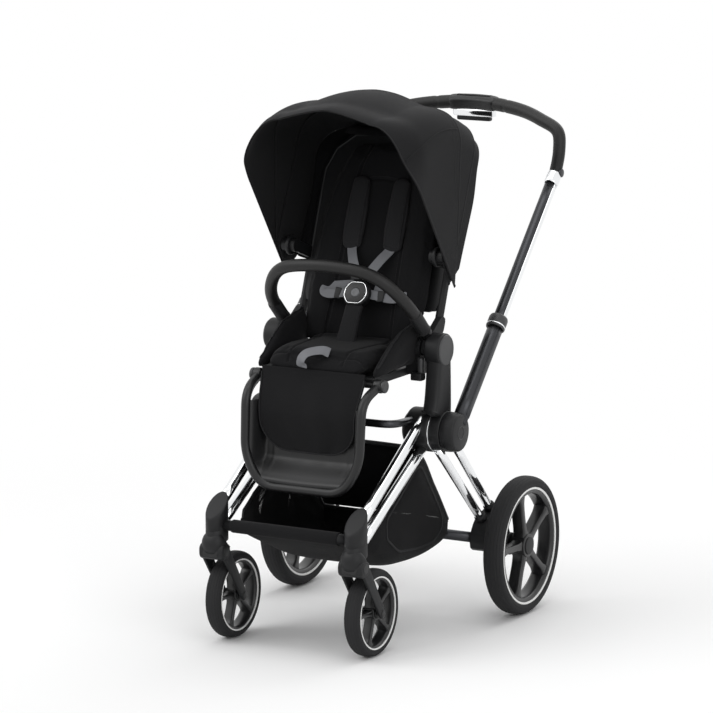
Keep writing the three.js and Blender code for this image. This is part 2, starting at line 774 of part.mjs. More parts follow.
place('legrest_frame', legrestFrame(), finishes.plastic);
place('legrest_tray', legrestTray(), finishes.plastic);

// ---------------------------------------------------------------- backrest

// everything on the backrest is drawn upright about the seat pivot, then leaned back
const backrest = new THREE.Group();
backrest.position.z = seatPivotHeight;
backrest.rotation.x = -THREE.MathUtils.degToRad(backLean);
pushchair.add(backrest);

const panelFront = backCushionThickness + seatGap;
const frameDepth = panelFront + 8;
const canopyHingeLocal = new THREE.Vector3(0, canopyAxisY, canopyAxisZ - seatPivotHeight)
  .applyAxisAngle(new THREE.Vector3(1, 0, 0), THREE.MathUtils.degToRad(backLean));
const canopyRearOuter = canopyHalfWidth - 2 * canopySideStep;
const canopyRearInner = canopyRearOuter - canopyWall;

function backrestFrame() {
  const low = 60;
  const tube = bentTube([
    at(-1, backFrameX, frameDepth, low), at(-1, backFrameX, frameDepth, backFrameTop - 60),
    at(-1, backFrameX - 52, frameDepth, backFrameTop),
    at(1, backFrameX - 52, frameDepth, backFrameTop),
    at(1, backFrameX, frameDepth, backFrameTop - 60), at(1, backFrameX, frameDepth, low),
  ], backTubeRadius, 50, 20, 8);
  const half = backFrameX - 3;
  const panel = slabY([
    [-half, low + 20], [half, low + 20], [half, backFrameTop - 60], [half - 50, backFrameTop - 4],
    [-half + 50, backFrameTop - 4], [-half, backFrameTop - 60],
  ], 20, panelFront, panelFront + 4);
  const armOuter = bossInner - 0.6;
  const armInner = earOuter + 0.8;
  const perSide = sides.flatMap(([side]) => [
    slabX([
      [-16, -16], [16, -16], [24, 2], [frameDepth + 10, low - 12], [frameDepth + 9, low + 14],
      [frameDepth - 9, low + 14], [-18, 14],
    ], 10, side * armInner, side * armOuter),
    box(side * (backFrameX - 2), side * (backFrameX + 4), canopyHingeLocal.y - 4, frameDepth,
      canopyHingeLocal.z - 12, canopyHingeLocal.z + 12),
    barX(side, 14, backFrameX - 2, canopyRearInner - seatGap, canopyHingeLocal.y,
      canopyHingeLocal.z, 16),
  ]);
  const holes = sides.map(([side]) => barX(
    side, pivotPinRadius + 0.9, armInner - 1, armOuter + 1, 0, 0));
  return cut(join(tube, panel, ...perSide), ...holes);
}

function backCushion() {
  const half = seatHalfWidth;
  return slabY([
    [-half + 12, 28], [half - 12, 28], [half, 90], [half, backCushionTop - 60],
    [half - 60, backCushionTop], [-half + 60, backCushionTop], [-half, backCushionTop - 60],
    [-half, 90],
  ], 30, 0, backCushionThickness, 7);
}

function shoulderPad(side) {
  const inner = shoulderPadX - 17;
  const outer = shoulderPadX + 17;
  return slabY([
    [side * inner, shoulderPadFoot], [side * outer, shoulderPadFoot],
    [side * outer, shoulderPadTop], [side * inner, shoulderPadTop],
  ], 14, -shoulderPadDepth, -0.5, 4);
}

place('backrest_frame', backrestFrame(), finishes.plastic, backrest);
place('back_cushion', backCushion(), finishes.fabric, backrest);
bothSides((side, word) => {
  place(`shoulder_pad_${word}`, shoulderPad(side), finishes.fabric, backrest);
});

// ---------------------------------------------------------------- canopy

// a drum with rounded shoulders, turned about the canopy axis and a little lower at its shoulders
function canopyDrum(radius, halfWidth) {
  const shoulder = canopyShoulder * radius / canopyRadius;
  const flat = halfWidth - shoulder;
  const quarter = [0, 1, 2, 3, 4].map((i) => {
    const angle = i / 4 * Math.PI / 2;
    return [
      radius - canopyCrown - shoulder * (1 - Math.cos(angle)), flat + shoulder * Math.sin(angle),
    ];
  });
  const mirrored = quarter.map(([r, x]) => [r, -x]);
  const profile = [
    [0, -halfWidth], ...mirrored.reverse(), [radius, 0], ...quarter, [0, halfWidth],
  ];
  return turnedX(profile, 36).translate([0, canopyAxisY, canopyAxisZ]);
}

// the part of one panel's shell that lies inside an outline drawn in y and z
function canopyPanel(step, outline, radius) {
  const outerRadius = canopyRadius - step * canopyStep;
  const outerHalf = canopyHalfWidth - step * canopySideStep;
  const shell = cut(
    canopyDrum(outerRadius, outerHalf),
    canopyDrum(outerRadius - canopyWall, outerHalf - canopyWall),
  );
  return shell.intersect(slabX(outline, radius, -canopyHalfWidth - 9, canopyHalfWidth + 9));
}

// a point at an angle behind upright and a distance from the canopy axis
function fromAxis(degreesBack, distance) {
  const angle = THREE.MathUtils.degToRad(degreesBack);
  return [canopyAxisY + distance * Math.sin(angle), canopyAxisZ + distance * Math.cos(angle)];
}

const beyond = canopyRadius * 1.3;
const frontPanel = [
  fromAxis(157, 69), fromAxis(-38.5, 261), fromAxis(-31, 308), fromAxis(-25, 352),
  fromAxis(-20, beyond), fromAxis(8, beyond), fromAxis(60, 42),
];
const middlePanel = [
  fromAxis(160, 52), fromAxis(-60, 24), fromAxis(-4, beyond), fromAxis(26, beyond),
  fromAxis(60, 52),
];
const rearPanel = [
  fromAxis(165, 60), fromAxis(-60, 24), fromAxis(20, beyond), fromAxis(40, beyond),
  fromAxis(38, 305), fromAxis(38, 229), fromAxis(50, 162), fromAxis(119, 66),
];
place('canopy_front', canopyPanel(0, frontPanel, 24), finishes.fabric);
place('canopy_middle', canopyPanel(1, middlePanel, 14), finishes.fabric);
place('canopy_rear', canopyPanel(2, rearPanel, 14), finishes.fabric);

// ---------------------------------------------------------------- basket

function basket() {
  const back = rearBarY - rearBarRadius - 2;
  const front = casterY + frontTubeRadius + 0.6;
  const outline = [
    [front, frontBarHeight - 14], [-177, 185], [-95, 150], [0, 137], [70, 141], [back - 12, 158],
    [back, 208], [-2, 372], [-18, 372], [-172, 292], [front, frontBarHeight - 6],
  ];
  const inner = [
    [front + 40, frontBarHeight], [-175, 189], [-94, 154], [0, 141], [68, 145],
    [back - 15, 161], [back - basketWall, 209], [back - basketWall, 420], [-150, 420],
    [-168, 300],
  ];
  return cut(
    slabX(outline, 12, -basketHalfWidth, basketHalfWidth),
    slabX(inner, 12, -basketHalfWidth + basketWall, basketHalfWidth - basketWall),
    towerBody(-1, 1), towerBody(1, 1),
  );
}

place('basket', basket(), finishes.fabric);

pushchair.position.y = -footprintCentre;
export default pushchair;
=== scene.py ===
"""Looks of a compact pushchair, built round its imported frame.

Shapes are worked out in millimetres about the main fold hub: x across, y backwards from the hub and
z above the floor. build() moves them into the row frame, in metres. Left is the -X side.
"""

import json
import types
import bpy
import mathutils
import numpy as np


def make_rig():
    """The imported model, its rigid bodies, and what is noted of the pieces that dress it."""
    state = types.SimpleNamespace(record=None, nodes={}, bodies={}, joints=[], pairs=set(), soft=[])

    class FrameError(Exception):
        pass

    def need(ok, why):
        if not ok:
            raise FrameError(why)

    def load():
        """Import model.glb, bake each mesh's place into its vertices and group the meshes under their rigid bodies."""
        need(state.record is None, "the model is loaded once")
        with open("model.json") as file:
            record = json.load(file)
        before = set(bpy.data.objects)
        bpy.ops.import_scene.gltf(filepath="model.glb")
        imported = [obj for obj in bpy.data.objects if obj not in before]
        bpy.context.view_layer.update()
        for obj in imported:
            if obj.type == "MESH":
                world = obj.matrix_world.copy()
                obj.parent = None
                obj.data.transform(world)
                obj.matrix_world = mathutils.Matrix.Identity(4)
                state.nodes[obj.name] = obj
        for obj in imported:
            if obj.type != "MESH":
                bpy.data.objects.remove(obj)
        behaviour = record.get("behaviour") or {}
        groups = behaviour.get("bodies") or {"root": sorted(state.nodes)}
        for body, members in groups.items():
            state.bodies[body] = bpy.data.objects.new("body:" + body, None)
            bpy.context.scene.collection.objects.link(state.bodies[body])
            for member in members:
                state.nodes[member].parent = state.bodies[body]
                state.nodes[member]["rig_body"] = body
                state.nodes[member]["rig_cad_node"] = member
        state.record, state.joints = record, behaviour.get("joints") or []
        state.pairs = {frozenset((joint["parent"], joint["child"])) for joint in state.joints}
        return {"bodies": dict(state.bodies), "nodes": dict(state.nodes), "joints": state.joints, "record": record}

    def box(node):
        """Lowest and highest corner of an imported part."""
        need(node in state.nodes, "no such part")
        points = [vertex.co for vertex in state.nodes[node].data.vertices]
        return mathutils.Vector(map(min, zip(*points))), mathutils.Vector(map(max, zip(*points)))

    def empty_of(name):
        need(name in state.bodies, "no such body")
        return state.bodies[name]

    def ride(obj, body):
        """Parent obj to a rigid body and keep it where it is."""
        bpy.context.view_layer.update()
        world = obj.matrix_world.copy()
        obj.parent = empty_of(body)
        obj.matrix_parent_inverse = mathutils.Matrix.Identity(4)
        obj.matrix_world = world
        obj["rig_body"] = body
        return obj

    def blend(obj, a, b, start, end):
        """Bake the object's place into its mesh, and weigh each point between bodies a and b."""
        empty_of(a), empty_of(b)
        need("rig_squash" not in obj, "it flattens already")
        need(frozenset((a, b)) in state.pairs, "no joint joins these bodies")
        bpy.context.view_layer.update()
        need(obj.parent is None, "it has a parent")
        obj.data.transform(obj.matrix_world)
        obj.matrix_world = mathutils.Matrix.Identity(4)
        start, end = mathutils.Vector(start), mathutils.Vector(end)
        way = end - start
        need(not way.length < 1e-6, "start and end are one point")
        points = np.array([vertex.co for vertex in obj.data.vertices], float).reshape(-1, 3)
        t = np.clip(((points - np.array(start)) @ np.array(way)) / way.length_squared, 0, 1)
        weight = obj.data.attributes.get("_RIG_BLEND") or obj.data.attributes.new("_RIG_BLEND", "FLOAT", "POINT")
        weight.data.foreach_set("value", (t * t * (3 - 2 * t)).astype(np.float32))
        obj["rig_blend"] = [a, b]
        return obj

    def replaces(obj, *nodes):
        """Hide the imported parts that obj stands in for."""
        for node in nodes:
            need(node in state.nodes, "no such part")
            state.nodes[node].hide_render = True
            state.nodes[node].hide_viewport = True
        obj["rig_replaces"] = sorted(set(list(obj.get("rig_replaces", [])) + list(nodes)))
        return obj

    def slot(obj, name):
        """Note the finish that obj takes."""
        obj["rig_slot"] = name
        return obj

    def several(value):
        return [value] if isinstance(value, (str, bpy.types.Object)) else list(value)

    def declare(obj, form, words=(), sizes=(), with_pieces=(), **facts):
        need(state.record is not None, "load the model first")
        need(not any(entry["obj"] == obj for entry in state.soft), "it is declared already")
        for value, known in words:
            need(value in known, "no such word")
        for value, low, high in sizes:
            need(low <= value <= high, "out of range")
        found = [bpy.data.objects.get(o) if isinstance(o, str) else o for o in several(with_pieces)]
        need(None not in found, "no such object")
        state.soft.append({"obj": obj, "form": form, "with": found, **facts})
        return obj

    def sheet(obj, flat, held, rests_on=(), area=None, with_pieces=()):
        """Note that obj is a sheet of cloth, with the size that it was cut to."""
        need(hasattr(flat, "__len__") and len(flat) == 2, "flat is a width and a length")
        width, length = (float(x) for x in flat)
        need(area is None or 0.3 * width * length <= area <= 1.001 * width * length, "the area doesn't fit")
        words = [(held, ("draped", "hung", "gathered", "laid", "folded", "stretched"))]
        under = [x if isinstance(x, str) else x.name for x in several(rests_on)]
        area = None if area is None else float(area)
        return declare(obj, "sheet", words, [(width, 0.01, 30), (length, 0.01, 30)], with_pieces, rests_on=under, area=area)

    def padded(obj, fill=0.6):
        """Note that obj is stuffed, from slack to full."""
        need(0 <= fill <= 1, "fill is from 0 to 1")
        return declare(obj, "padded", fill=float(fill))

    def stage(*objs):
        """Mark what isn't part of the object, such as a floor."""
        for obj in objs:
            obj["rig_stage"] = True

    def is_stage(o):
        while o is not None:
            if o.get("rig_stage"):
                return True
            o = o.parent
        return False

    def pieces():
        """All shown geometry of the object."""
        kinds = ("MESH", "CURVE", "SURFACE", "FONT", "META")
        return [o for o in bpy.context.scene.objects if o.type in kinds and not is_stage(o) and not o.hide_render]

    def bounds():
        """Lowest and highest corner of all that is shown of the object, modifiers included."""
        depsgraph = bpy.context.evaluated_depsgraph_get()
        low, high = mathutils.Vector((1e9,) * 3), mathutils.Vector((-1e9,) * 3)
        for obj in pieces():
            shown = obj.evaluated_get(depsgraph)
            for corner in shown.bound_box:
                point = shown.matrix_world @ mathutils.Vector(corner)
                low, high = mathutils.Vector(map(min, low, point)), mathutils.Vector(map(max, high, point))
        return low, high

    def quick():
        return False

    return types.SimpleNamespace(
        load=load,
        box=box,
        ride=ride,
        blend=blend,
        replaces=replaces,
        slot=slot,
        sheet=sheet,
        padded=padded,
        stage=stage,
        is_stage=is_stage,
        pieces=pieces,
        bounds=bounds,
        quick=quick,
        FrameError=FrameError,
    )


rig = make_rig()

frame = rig.load()

import json
import logging
import math
from collections.abc import Callable
from dataclasses import dataclass, field
from enum import Enum

import bmesh
import bpy
import numpy as np
from mathutils import Vector
from mathutils.bvhtree import BVHTree

log = logging.getLogger("pushchair")
CAD_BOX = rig.bounds()
MM = 0.001
SIDES = ((-1, "left"), (1, "right"))


def box_mm(node: str) -> np.ndarray:
    """Lowest and highest corners of a CAD node, in millimetres in the row frame."""
    return np.array([list(corner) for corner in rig.box(node)]) / MM


HUB = box_mm("hub_housing_right").mean(axis=0)
SHIFT = np.array([0.0, HUB[1], 0.0])
HUB_Z = HUB[2]
BOSS_RADIUS = 34.6
SEAT_PIVOT_Z = box_mm("seat_post_right")[1, 2] - BOSS_RADIUS
BACK_LEAN = math.radians(20)
PUSH_LEAN = math.radians(43.57)


def leaned(x: np.ndarray, y: np.ndarray, z: np.ndarray) -> np.ndarray:
    """Points drawn upright about the seat pivot, leaned back with the backrest."""
    x, y, z = np.broadcast_arrays(x, y, z)
    c, s = math.cos(BACK_LEAN), math.sin(BACK_LEAN)
    return np.stack([x, y * c + z * s, SEAT_PIVOT_Z - y * s + z * c], axis=-1).astype(float)


def unleaned(points: np.ndarray) -> np.ndarray:
    """The inverse of leaned: (x, y, z) as drawn upright about the seat pivot."""
    c, s = math.cos(BACK_LEAN), math.sin(BACK_LEAN)
    y, z = points[..., 1], points[..., 2] - SEAT_PIVOT_Z
    return np.stack([points[..., 0], y * c - z * s, y * s + z * c], axis=-1)


# ------------------------------------------------------------------ surfaces


class Cap(Enum):
    """How the first and last rows of a surface are closed."""

    OPEN = "open"
    FAN = "fan"
    FOLD = "fold"


@dataclass
class Patch:
    """Part of a mesh: points in millimetres, four- and three-sided faces, and their UV in metres."""

    points: np.ndarray
    quads: np.ndarray
    quad_uv: np.ndarray
    tris: np.ndarray
    tri_uv: np.ndarray

    def __add__(self, other: "Patch") -> "Patch":
        """Both patches as one."""
        shift = len(self.points)
        return Patch(
            np.vstack([self.points, other.points]),
            np.vstack([self.quads, other.quads + shift]),
            np.vstack([self.quad_uv, other.quad_uv]),
            np.vstack([self.tris, other.tris + shift]),
            np.vstack([self.tri_uv, other.tri_uv]),
        )


def arc_lengths(grid: np.ndarray, axis: int, wrap: bool) -> np.ndarray:
    """Mean distance along one axis of a grid, in metres, with one more value where it wraps."""
    closed = np.concatenate([grid, grid.take([0], axis)], axis) if wrap else grid
    steps = np.linalg.norm(np.diff(closed, axis=axis), axis=-1).mean(axis=1 - axis)
    return np.concatenate([[0.0], np.cumsum(steps)]) * MM


def lay(grid: np.ndarray, wrap_u: bool = False, wrap_v: bool = True, cap: Cap = Cap.FAN) -> Patch:
    """Lays faces over a grid of points, which is any surface of two parameters.

    Args:
        grid: rows x columns x 3 points, in millimetres.
        wrap_u: joins the last row to the first.
        wrap_v: joins the last column to the first.
        cap: how the end rows are closed, where wrap_u is off.

    Returns:
        The patch, whose UV is the distance along the rows and the columns.
    """
    rows, cols = grid.shape[:2]
    u, v = arc_lengths(grid, 0, wrap_u), arc_lengths(grid, 1, wrap_v)
    i, j = np.meshgrid(
        np.arange(rows if wrap_u else rows - 1), np.arange(cols if wrap_v else cols - 1), indexing="ij")
    i, j = i.ravel(), j.ravel()
    i2, j2 = (i + 1) % rows, (j + 1) % cols
    quads = np.stack([i * cols + j, i2 * cols + j, i2 * cols + j2, i * cols + j2], axis=-1)
    quad_uv = np.stack([
        np.stack([u[i], v[j]], -1), np.stack([u[i + 1], v[j]], -1),
        np.stack([u[i + 1], v[j + 1]], -1), np.stack([u[i], v[j + 1]], -1)], axis=1)
    points, tris = grid.reshape(-1, 3), np.zeros((0, 3), int)
    if cap is Cap.FAN and not wrap_u:
        ring = np.arange(cols)
        after = np.roll(ring, -1)
        last = (rows - 1) * cols
        middles = np.stack([grid[0].mean(axis=0), grid[-1].mean(axis=0)])
        points = np.vstack([points, middles])
        first_fan = np.stack([ring, after, np.full(cols, rows * cols)], -1)
        last_fan = np.stack([after + last, ring + last, np.full(cols, rows * cols + 1)], -1)
        tris = np.vstack([first_fan, last_fan])
    if cap is Cap.FOLD and not wrap_u:
        near = np.arange(cols // 2 - 1)
        far = cols - 1 - near
        rim = np.stack([near, near + 1, far - 1, far], -1)
        quads = np.vstack([quads, rim, rim[:, ::-1] + (rows - 1) * cols])
        quad_uv = np.vstack([quad_uv, np.zeros((2 * len(rim), 4, 2))])
    return Patch(points, quads, quad_uv, tris, np.zeros((len(tris), 3, 2)))


def build(name: str, *patches: Patch) -> bpy.types.Object:
    """Makes one object of patches: merges touching points, turns faces outwards, shades smooth."""
    whole = patches[0]
    for patch in patches[1:]:
        whole = whole + patch
    mesh = bpy.data.meshes.new(name)
    mesh.from_pydata(
        ((whole.points + SHIFT) * MM).tolist(), [], whole.quads.tolist() + whole.tris.tolist())
    uv = np.concatenate([whole.quad_uv.reshape(-1, 2), whole.tri_uv.reshape(-1, 2)])
    mesh.uv_layers.new(name="UVMap").data.foreach_set("uv", uv.astype(np.float32).ravel())
    sheet = bmesh.new()
    sheet.from_mesh(mesh)
    bmesh.ops.remove_doubles(sheet, verts=sheet.verts, dist=2e-6)
    bmesh.ops.recalc_face_normals(sheet, faces=sheet.faces)
    sheet.to_mesh(mesh)
    sheet.free()
    mesh.polygons.foreach_set("use_smooth", np.ones(len(mesh.polygons), bool))
    made = bpy.data.objects.new(name, mesh)
    bpy.context.scene.collection.objects.link(made)
    return made


def unit(vectors: np.ndarray) -> np.ndarray:
    """Vectors at length one."""
    return vectors / np.maximum(np.linalg.norm(vectors, axis=-1, keepdims=True), 1e-9)


def resample(path: np.ndarray, count: int, carried: np.ndarray | None = None) -> np.ndarray:
    """The same line with count points at equal distances, or what is carried along it."""
    along = np.concatenate([[0], np.cumsum(np.linalg.norm(np.diff(path, axis=0), axis=1))])
    at = np.linspace(0, along[-1], count)
    values = path if carried is None else carried
    return np.stack([np.interp(at, along, values[:, k]) for k in range(3)], axis=-1)


def bent(points: list, corner: float, count: int) -> np.ndarray:
    """Straight runs joined by quadratic corners that start `corner` millimetres before each bend."""
    p = np.array(points, float)
    runs = [p[:1]]
    t = np.linspace(0, 1, 12)[:, None]
    for before, here, after in zip(p[:-2], p[1:-1], p[2:]):
        reach = min(corner, np.linalg.norm(before - here) / 2.02, np.linalg.norm(after - here) / 2.02)
        enter, leave = here + unit(before - here) * reach, here + unit(after - here) * reach
        runs.append((1 - t) ** 2 * enter + 2 * t * (1 - t) * here + t ** 2 * leave)
    return resample(np.vstack([*runs, p[-1:]]), count)


def flowing(points: list, count: int) -> np.ndarray:
    """A smooth line through points: cubic pieces whose knots are spaced by the root of their distance."""
    p = np.array(points, float)
    p = np.vstack([2 * p[:1] - p[1:2], p, 2 * p[-1:] - p[-2:-1]])
    knot = np.concatenate([[0], np.cumsum(np.sqrt(np.linalg.norm(np.diff(p, axis=0), axis=1)))])
    gap = np.diff(knot)[:, None]
    slope = np.diff(p, axis=0) / gap
    tangent = slope[:-1] + slope[1:] - (p[2:] - p[:-2]) / (gap[:-1] + gap[1:])
    t = np.linspace(0, 1, 24)[:, None, None]
    a, b, h = p[1:-2], p[2:-1], gap[1:-1]
    cubic = ((2 * t ** 3 - 3 * t ** 2 + 1) * a + (t ** 3 - 2 * t ** 2 + t) * h * tangent[:-1]
             + (3 * t ** 2 - 2 * t ** 3) * b + (t ** 3 - t ** 2) * h * tangent[1:])
    return resample(cubic.transpose(1, 0, 2).reshape(-1, 3), count)


def oval(half_width: float, half_height: float, count: int = 24, power: float = 2.0) -> np.ndarray:
    """A superellipse: an ellipse at power 2, and nearer a rectangle above it."""
    t = np.linspace(0, 2 * np.pi, count, endpoint=False)
    c, s = np.cos(t), np.sin(t)
    return np.stack([
        half_width * np.sign(c) * np.abs(c) ** (2 / power),
        half_height * np.sign(s) * np.abs(s) ** (2 / power)], axis=-1)


def sweep(path: np.ndarray, section: np.ndarray, face: tuple, scale: np.ndarray | None = None,
          closed: bool = False) -> Patch:
    """Carries a profile along a path.

    Args:
        path: points of the line.
        section: points across it: the first number goes sideways, the second along `face`.
        face: the direction in which the profile's second axis looks, as nearly as the path lets it.
        scale: one or two numbers a station that widen the profile there.
        closed: the path ends where it starts.

    Returns:
        The surface, closed at its ends.
    """
    ahead, behind = np.roll(path, -1, axis=0), np.roll(path, 1, axis=0)
    tangent = unit(ahead - behind) if closed else unit(np.gradient(path, axis=0))
    side = unit(np.cross(tangent, np.array(face, float)))
    up = np.cross(side, tangent)
    grown = np.ones((len(path), 2)) if scale is None else np.asarray(scale, float).reshape(len(path), -1)
    grown = np.broadcast_to(grown, (len(path), 2))[:, None]
    across = section[None] * grown
    grid = path[:, None] + across[..., :1] * side[:, None] + across[..., 1:] * up[:, None]
    return lay(grid, wrap_u=closed)


def tube(path: np.ndarray, radius: float, face: tuple = (0, 0, 1), sides: int = 20,
         scale: np.ndarray | None = None, closed: bool = False) -> Patch:
    """A round tube along a path."""
    return sweep(path, oval(radius, radius, sides), face, scale, closed)


def straight(start: tuple, end: tuple, count: int = 2) -> np.ndarray:
    """Points on a straight line."""
    return np.linspace(np.array(start, float), np.array(end, float), count)


def turned(profile: list, origin: tuple, axis: tuple = (1, 0, 0), segments: int = 64) -> Patch:
    """A profile of (radius, distance along the axis) points, turned once round the axis and closed."""
    along = unit(np.array(axis, float))
    first = unit(np.cross(along, (0.0, 0.31, 0.95)))
    second = np.cross(along, first)
    t = np.linspace(0, 2 * np.pi, segments, endpoint=False)[:, None, None]
    r, x = np.array(profile, float).T[:, None, :, None]
    grid = np.array(origin, float) + along * x + r * (first * np.cos(t) + second * np.sin(t))
    return lay(grid, wrap_u=True, wrap_v=True)


def drum(radius: float, start: float, end: float, edge: float, side: int, y: float, z: float,
         axis: tuple = (1, 0, 0)) -> Patch:
    """A round body across the pushchair with rounded rims, from x = start to x = end on one side."""
    t = np.linspace(0, np.pi / 2, 5)
    rim = [(radius - edge + edge * math.sin(a), start + edge - edge * math.cos(a)) for a in t]
    rim += [(radius - edge + edge * math.cos(a), end - edge + edge * math.sin(a)) for a in t]
    profile = [(0, start), *rim, (0, end)]
    return turned([(r, side * x) for r, x in profile], (0, y, z), axis)


def hoop(origin: tuple, axis: tuple, radius: float, thick: float, segments: int = 64) -> Patch:
    """A round wire ring about an axis."""
    return turned([(radius + a, b) for a, b in oval(thick, thick, 12)], origin, axis, segments)


def shell(grid: np.ndarray, thickness: float) -> Patch:
    """A sheet of even thickness over a grid, closed all round its rim."""
    normal = unit(np.cross(np.gradient(grid, axis=0), np.gradient(grid, axis=1)))
    ring = np.concatenate([grid + normal * thickness / 2, (grid - normal * thickness / 2)[:, ::-1]], axis=1)
    return lay(ring, cap=Cap.FOLD)


def plate(outline: np.ndarray, origin: tuple, right: tuple, up: tuple, depth: float, edge: float) -> Patch:
    """A flat body with rounded rims.

    Args:
        outline: its points in the plane, in order.
        origin: where (0, 0) of the outline lies, half way through the depth.
        right: direction of the outline's first number.
        up: direction of its second.
        depth: its thickness.
        edge: radius of the rims.

    Returns:
        Rings of the outline, each drawn in from the rim by the quarter circle, and closed by fans.
    """
    right, up = unit(np.array(right, float)), unit(np.array(up, float))
    out = np.cross(right, up)
    tangent = unit(np.roll(outline, -1, axis=0) - np.roll(outline, 1, axis=0))
    turn = np.sign(np.sum(outline[:, 0] * np.roll(outline[:, 1], -1) - outline[:, 1] * np.roll(outline[:, 0], -1)))
    inward = np.stack([-tangent[:, 1], tangent[:, 0]], axis=-1) * turn
    t = np.linspace(0, np.pi / 2, 4)
    inset = np.concatenate([edge * (1 - np.sin(t)), (edge * (1 - np.cos(t)))])
    level = np.concatenate([-depth / 2 + edge * (1 - np.cos(t)), depth / 2 - edge * (1 - np.sin(t))])
    flat = outline[None] + inward[None] * inset[:, None, None]
    grid = np.array(origin, float) + flat[..., :1] * right + flat[..., 1:] * up + level[:, None, None] * out
    return lay(grid)


def stadium(start: tuple, end: tuple, start_half: float, end_half: float, count: int = 12) -> np.ndarray:
    """Outline of a bar with round ends between two points of a plane."""
    a, b = np.array(start, float), np.array(end, float)
    angle = math.atan2(*(b - a)[::-1])
    t = np.linspace(-np.pi / 2, np.pi / 2, count)
    far = b + end_half * np.stack([np.cos(angle + t), np.sin(angle + t)], -1)
    near = a + start_half * np.stack([np.cos(angle + np.pi + t), np.sin(angle + np.pi + t)], -1)
    return np.vstack([far, near])


def stitches(path: np.ndarray, face: np.ndarray, pitch: float, length: float, radius: float) -> Patch:
    """A row of thread stitches: one small ellipsoid after another, lying on a surface along a path."""
    total = np.linalg.norm(np.diff(path, axis=0), axis=1).sum()
    centres = resample(path, max(3, int(total / pitch)))
    tangent = unit(np.gradient(centres, axis=0))
    normal = unit(resample(path, len(centres), np.broadcast_to(face, path.shape).astype(float)))
    side = np.cross(tangent, normal)
    a = np.linspace(0.15, np.pi - 0.15, 5)[:, None]
    b = np.linspace(0, 2 * np.pi, 6, endpoint=False)[None]
    bead = np.stack(np.broadcast_arrays(
        np.cos(a) * length / 2, radius * np.sin(a) * np.cos(b), radius * np.sin(a) * np.sin(b)), axis=-1)
    one = lay(bead)
    placed = (centres[:, None] + one.points[None, :, :1] * tangent[:, None]
              + one.points[None, :, 1:2] * side[:, None] + one.points[None, :, 2:] * normal[:, None])
    shift = (np.arange(len(centres)) * len(one.points))[:, None, None]
    many = len(centres)
    return Patch(
        placed.reshape(-1, 3), (one.quads[None] + shift).reshape(-1, 4), np.tile(one.quad_uv, (many, 1, 1)),
        (one.tris[None] + shift).reshape(-1, 3), np.tile(one.tri_uv, (many, 1, 1)))


def pillow(half: Callable, low: float, high: float, front: float, back: float, place: Callable,
           corner: float = 0.35, power: float = 3.0, rows: int = 60) -> Patch:
    """A crowned closed pad whose faces meet all round in one seam.

    A square of (s, t) is drawn in at its corners to a rounded oblong. The faces stand off the middle
    plane by (1 - |s|^power) (1 - |t|^power), to the power 0.42, so that they are full and their rims round.

    Args:
        half: half of the width at a share 0 to 1 of the length.
        low: start of its length.
        high: end of its length.
        front: how far the front face stands out.
        back: how far the back face does.
        place: turns (across, along, out) into points.
        corner: 0 keeps square corners and 1 gives an ellipse.
        power: how flat the middle of the faces is.
        rows: number of rows and columns.

    Returns:
        The front and back faces as one patch.
    """
    s, t = np.meshgrid(np.linspace(-1, 1, rows), np.linspace(-1, 1, rows), indexing="ij")
    along = t * np.sqrt(1 - corner * s ** 2 / 2)
    across = s * np.sqrt(1 - corner * t ** 2 / 2) * half((along + 1) / 2)
    level = (low + high) / 2 + along * (high - low) / 2
    rise = (np.clip(1 - np.abs(s) ** power, 0, 1) * np.clip(1 - np.abs(t) ** power, 0, 1)) ** 0.42
    faces = [place(across, level, rise * front), place(across, level, -rise * back)]
    return lay(faces[0], wrap_v=False, cap=Cap.OPEN) + lay(faces[1], wrap_v=False, cap=Cap.OPEN)


# ------------------------------------------------------------------ mesh work on finished pieces


def points_of(piece: bpy.types.Object) -> np.ndarray:
    """A piece's points, in millimetres about the hub."""
    flat = np.zeros(len(piece.data.vertices) * 3, np.float32)
    piece.data.vertices.foreach_get("co", flat)
    return flat.reshape(-1, 3).astype(float) / MM - SHIFT


def move_points(piece: bpy.types.Object, points: np.ndarray) -> None:
    """Puts points, in millimetres about the hub, back into a piece."""
    piece.data.vertices.foreach_set("co", ((points + SHIFT) * MM).astype(np.float32).ravel())
    piece.data.update()


def normals_of(piece: bpy.types.Object) -> np.ndarray:
    """The outward direction at each of a piece's points."""
    flat = np.zeros(len(piece.data.vertices) * 3, np.float32)
    piece.data.vertices.foreach_get("normal", flat)
    return flat.reshape(-1, 3).astype(float)


def apply_modifiers(piece: bpy.types.Object) -> None:
    """Makes what the modifiers show the piece's own mesh."""
    shown = piece.evaluated_get(bpy.context.evaluated_depsgraph_get())
    mesh = bpy.data.meshes.new_from_object(shown)
    piece.modifiers.clear()
    piece.data = mesh
    mesh.polygons.foreach_set("use_smooth", np.ones(len(mesh.polygons), bool))


def add_modifier(piece: bpy.types.Object, kind: str, **settings: object) -> bpy.types.Modifier:
    """Adds a modifier and sets what is named."""
    modifier = piece.modifiers.new(kind.lower(), kind)
    for name, value in settings.items():
        setattr(modifier, name, value)
    return modifier


def soften(piece: bpy.types.Object, levels: int = 1) -> bpy.types.Object:
    """Adds a Subdivision Surface with the same levels in both views."""
    add_modifier(piece, "SUBSURF", levels=levels, render_levels=levels)
    return piece


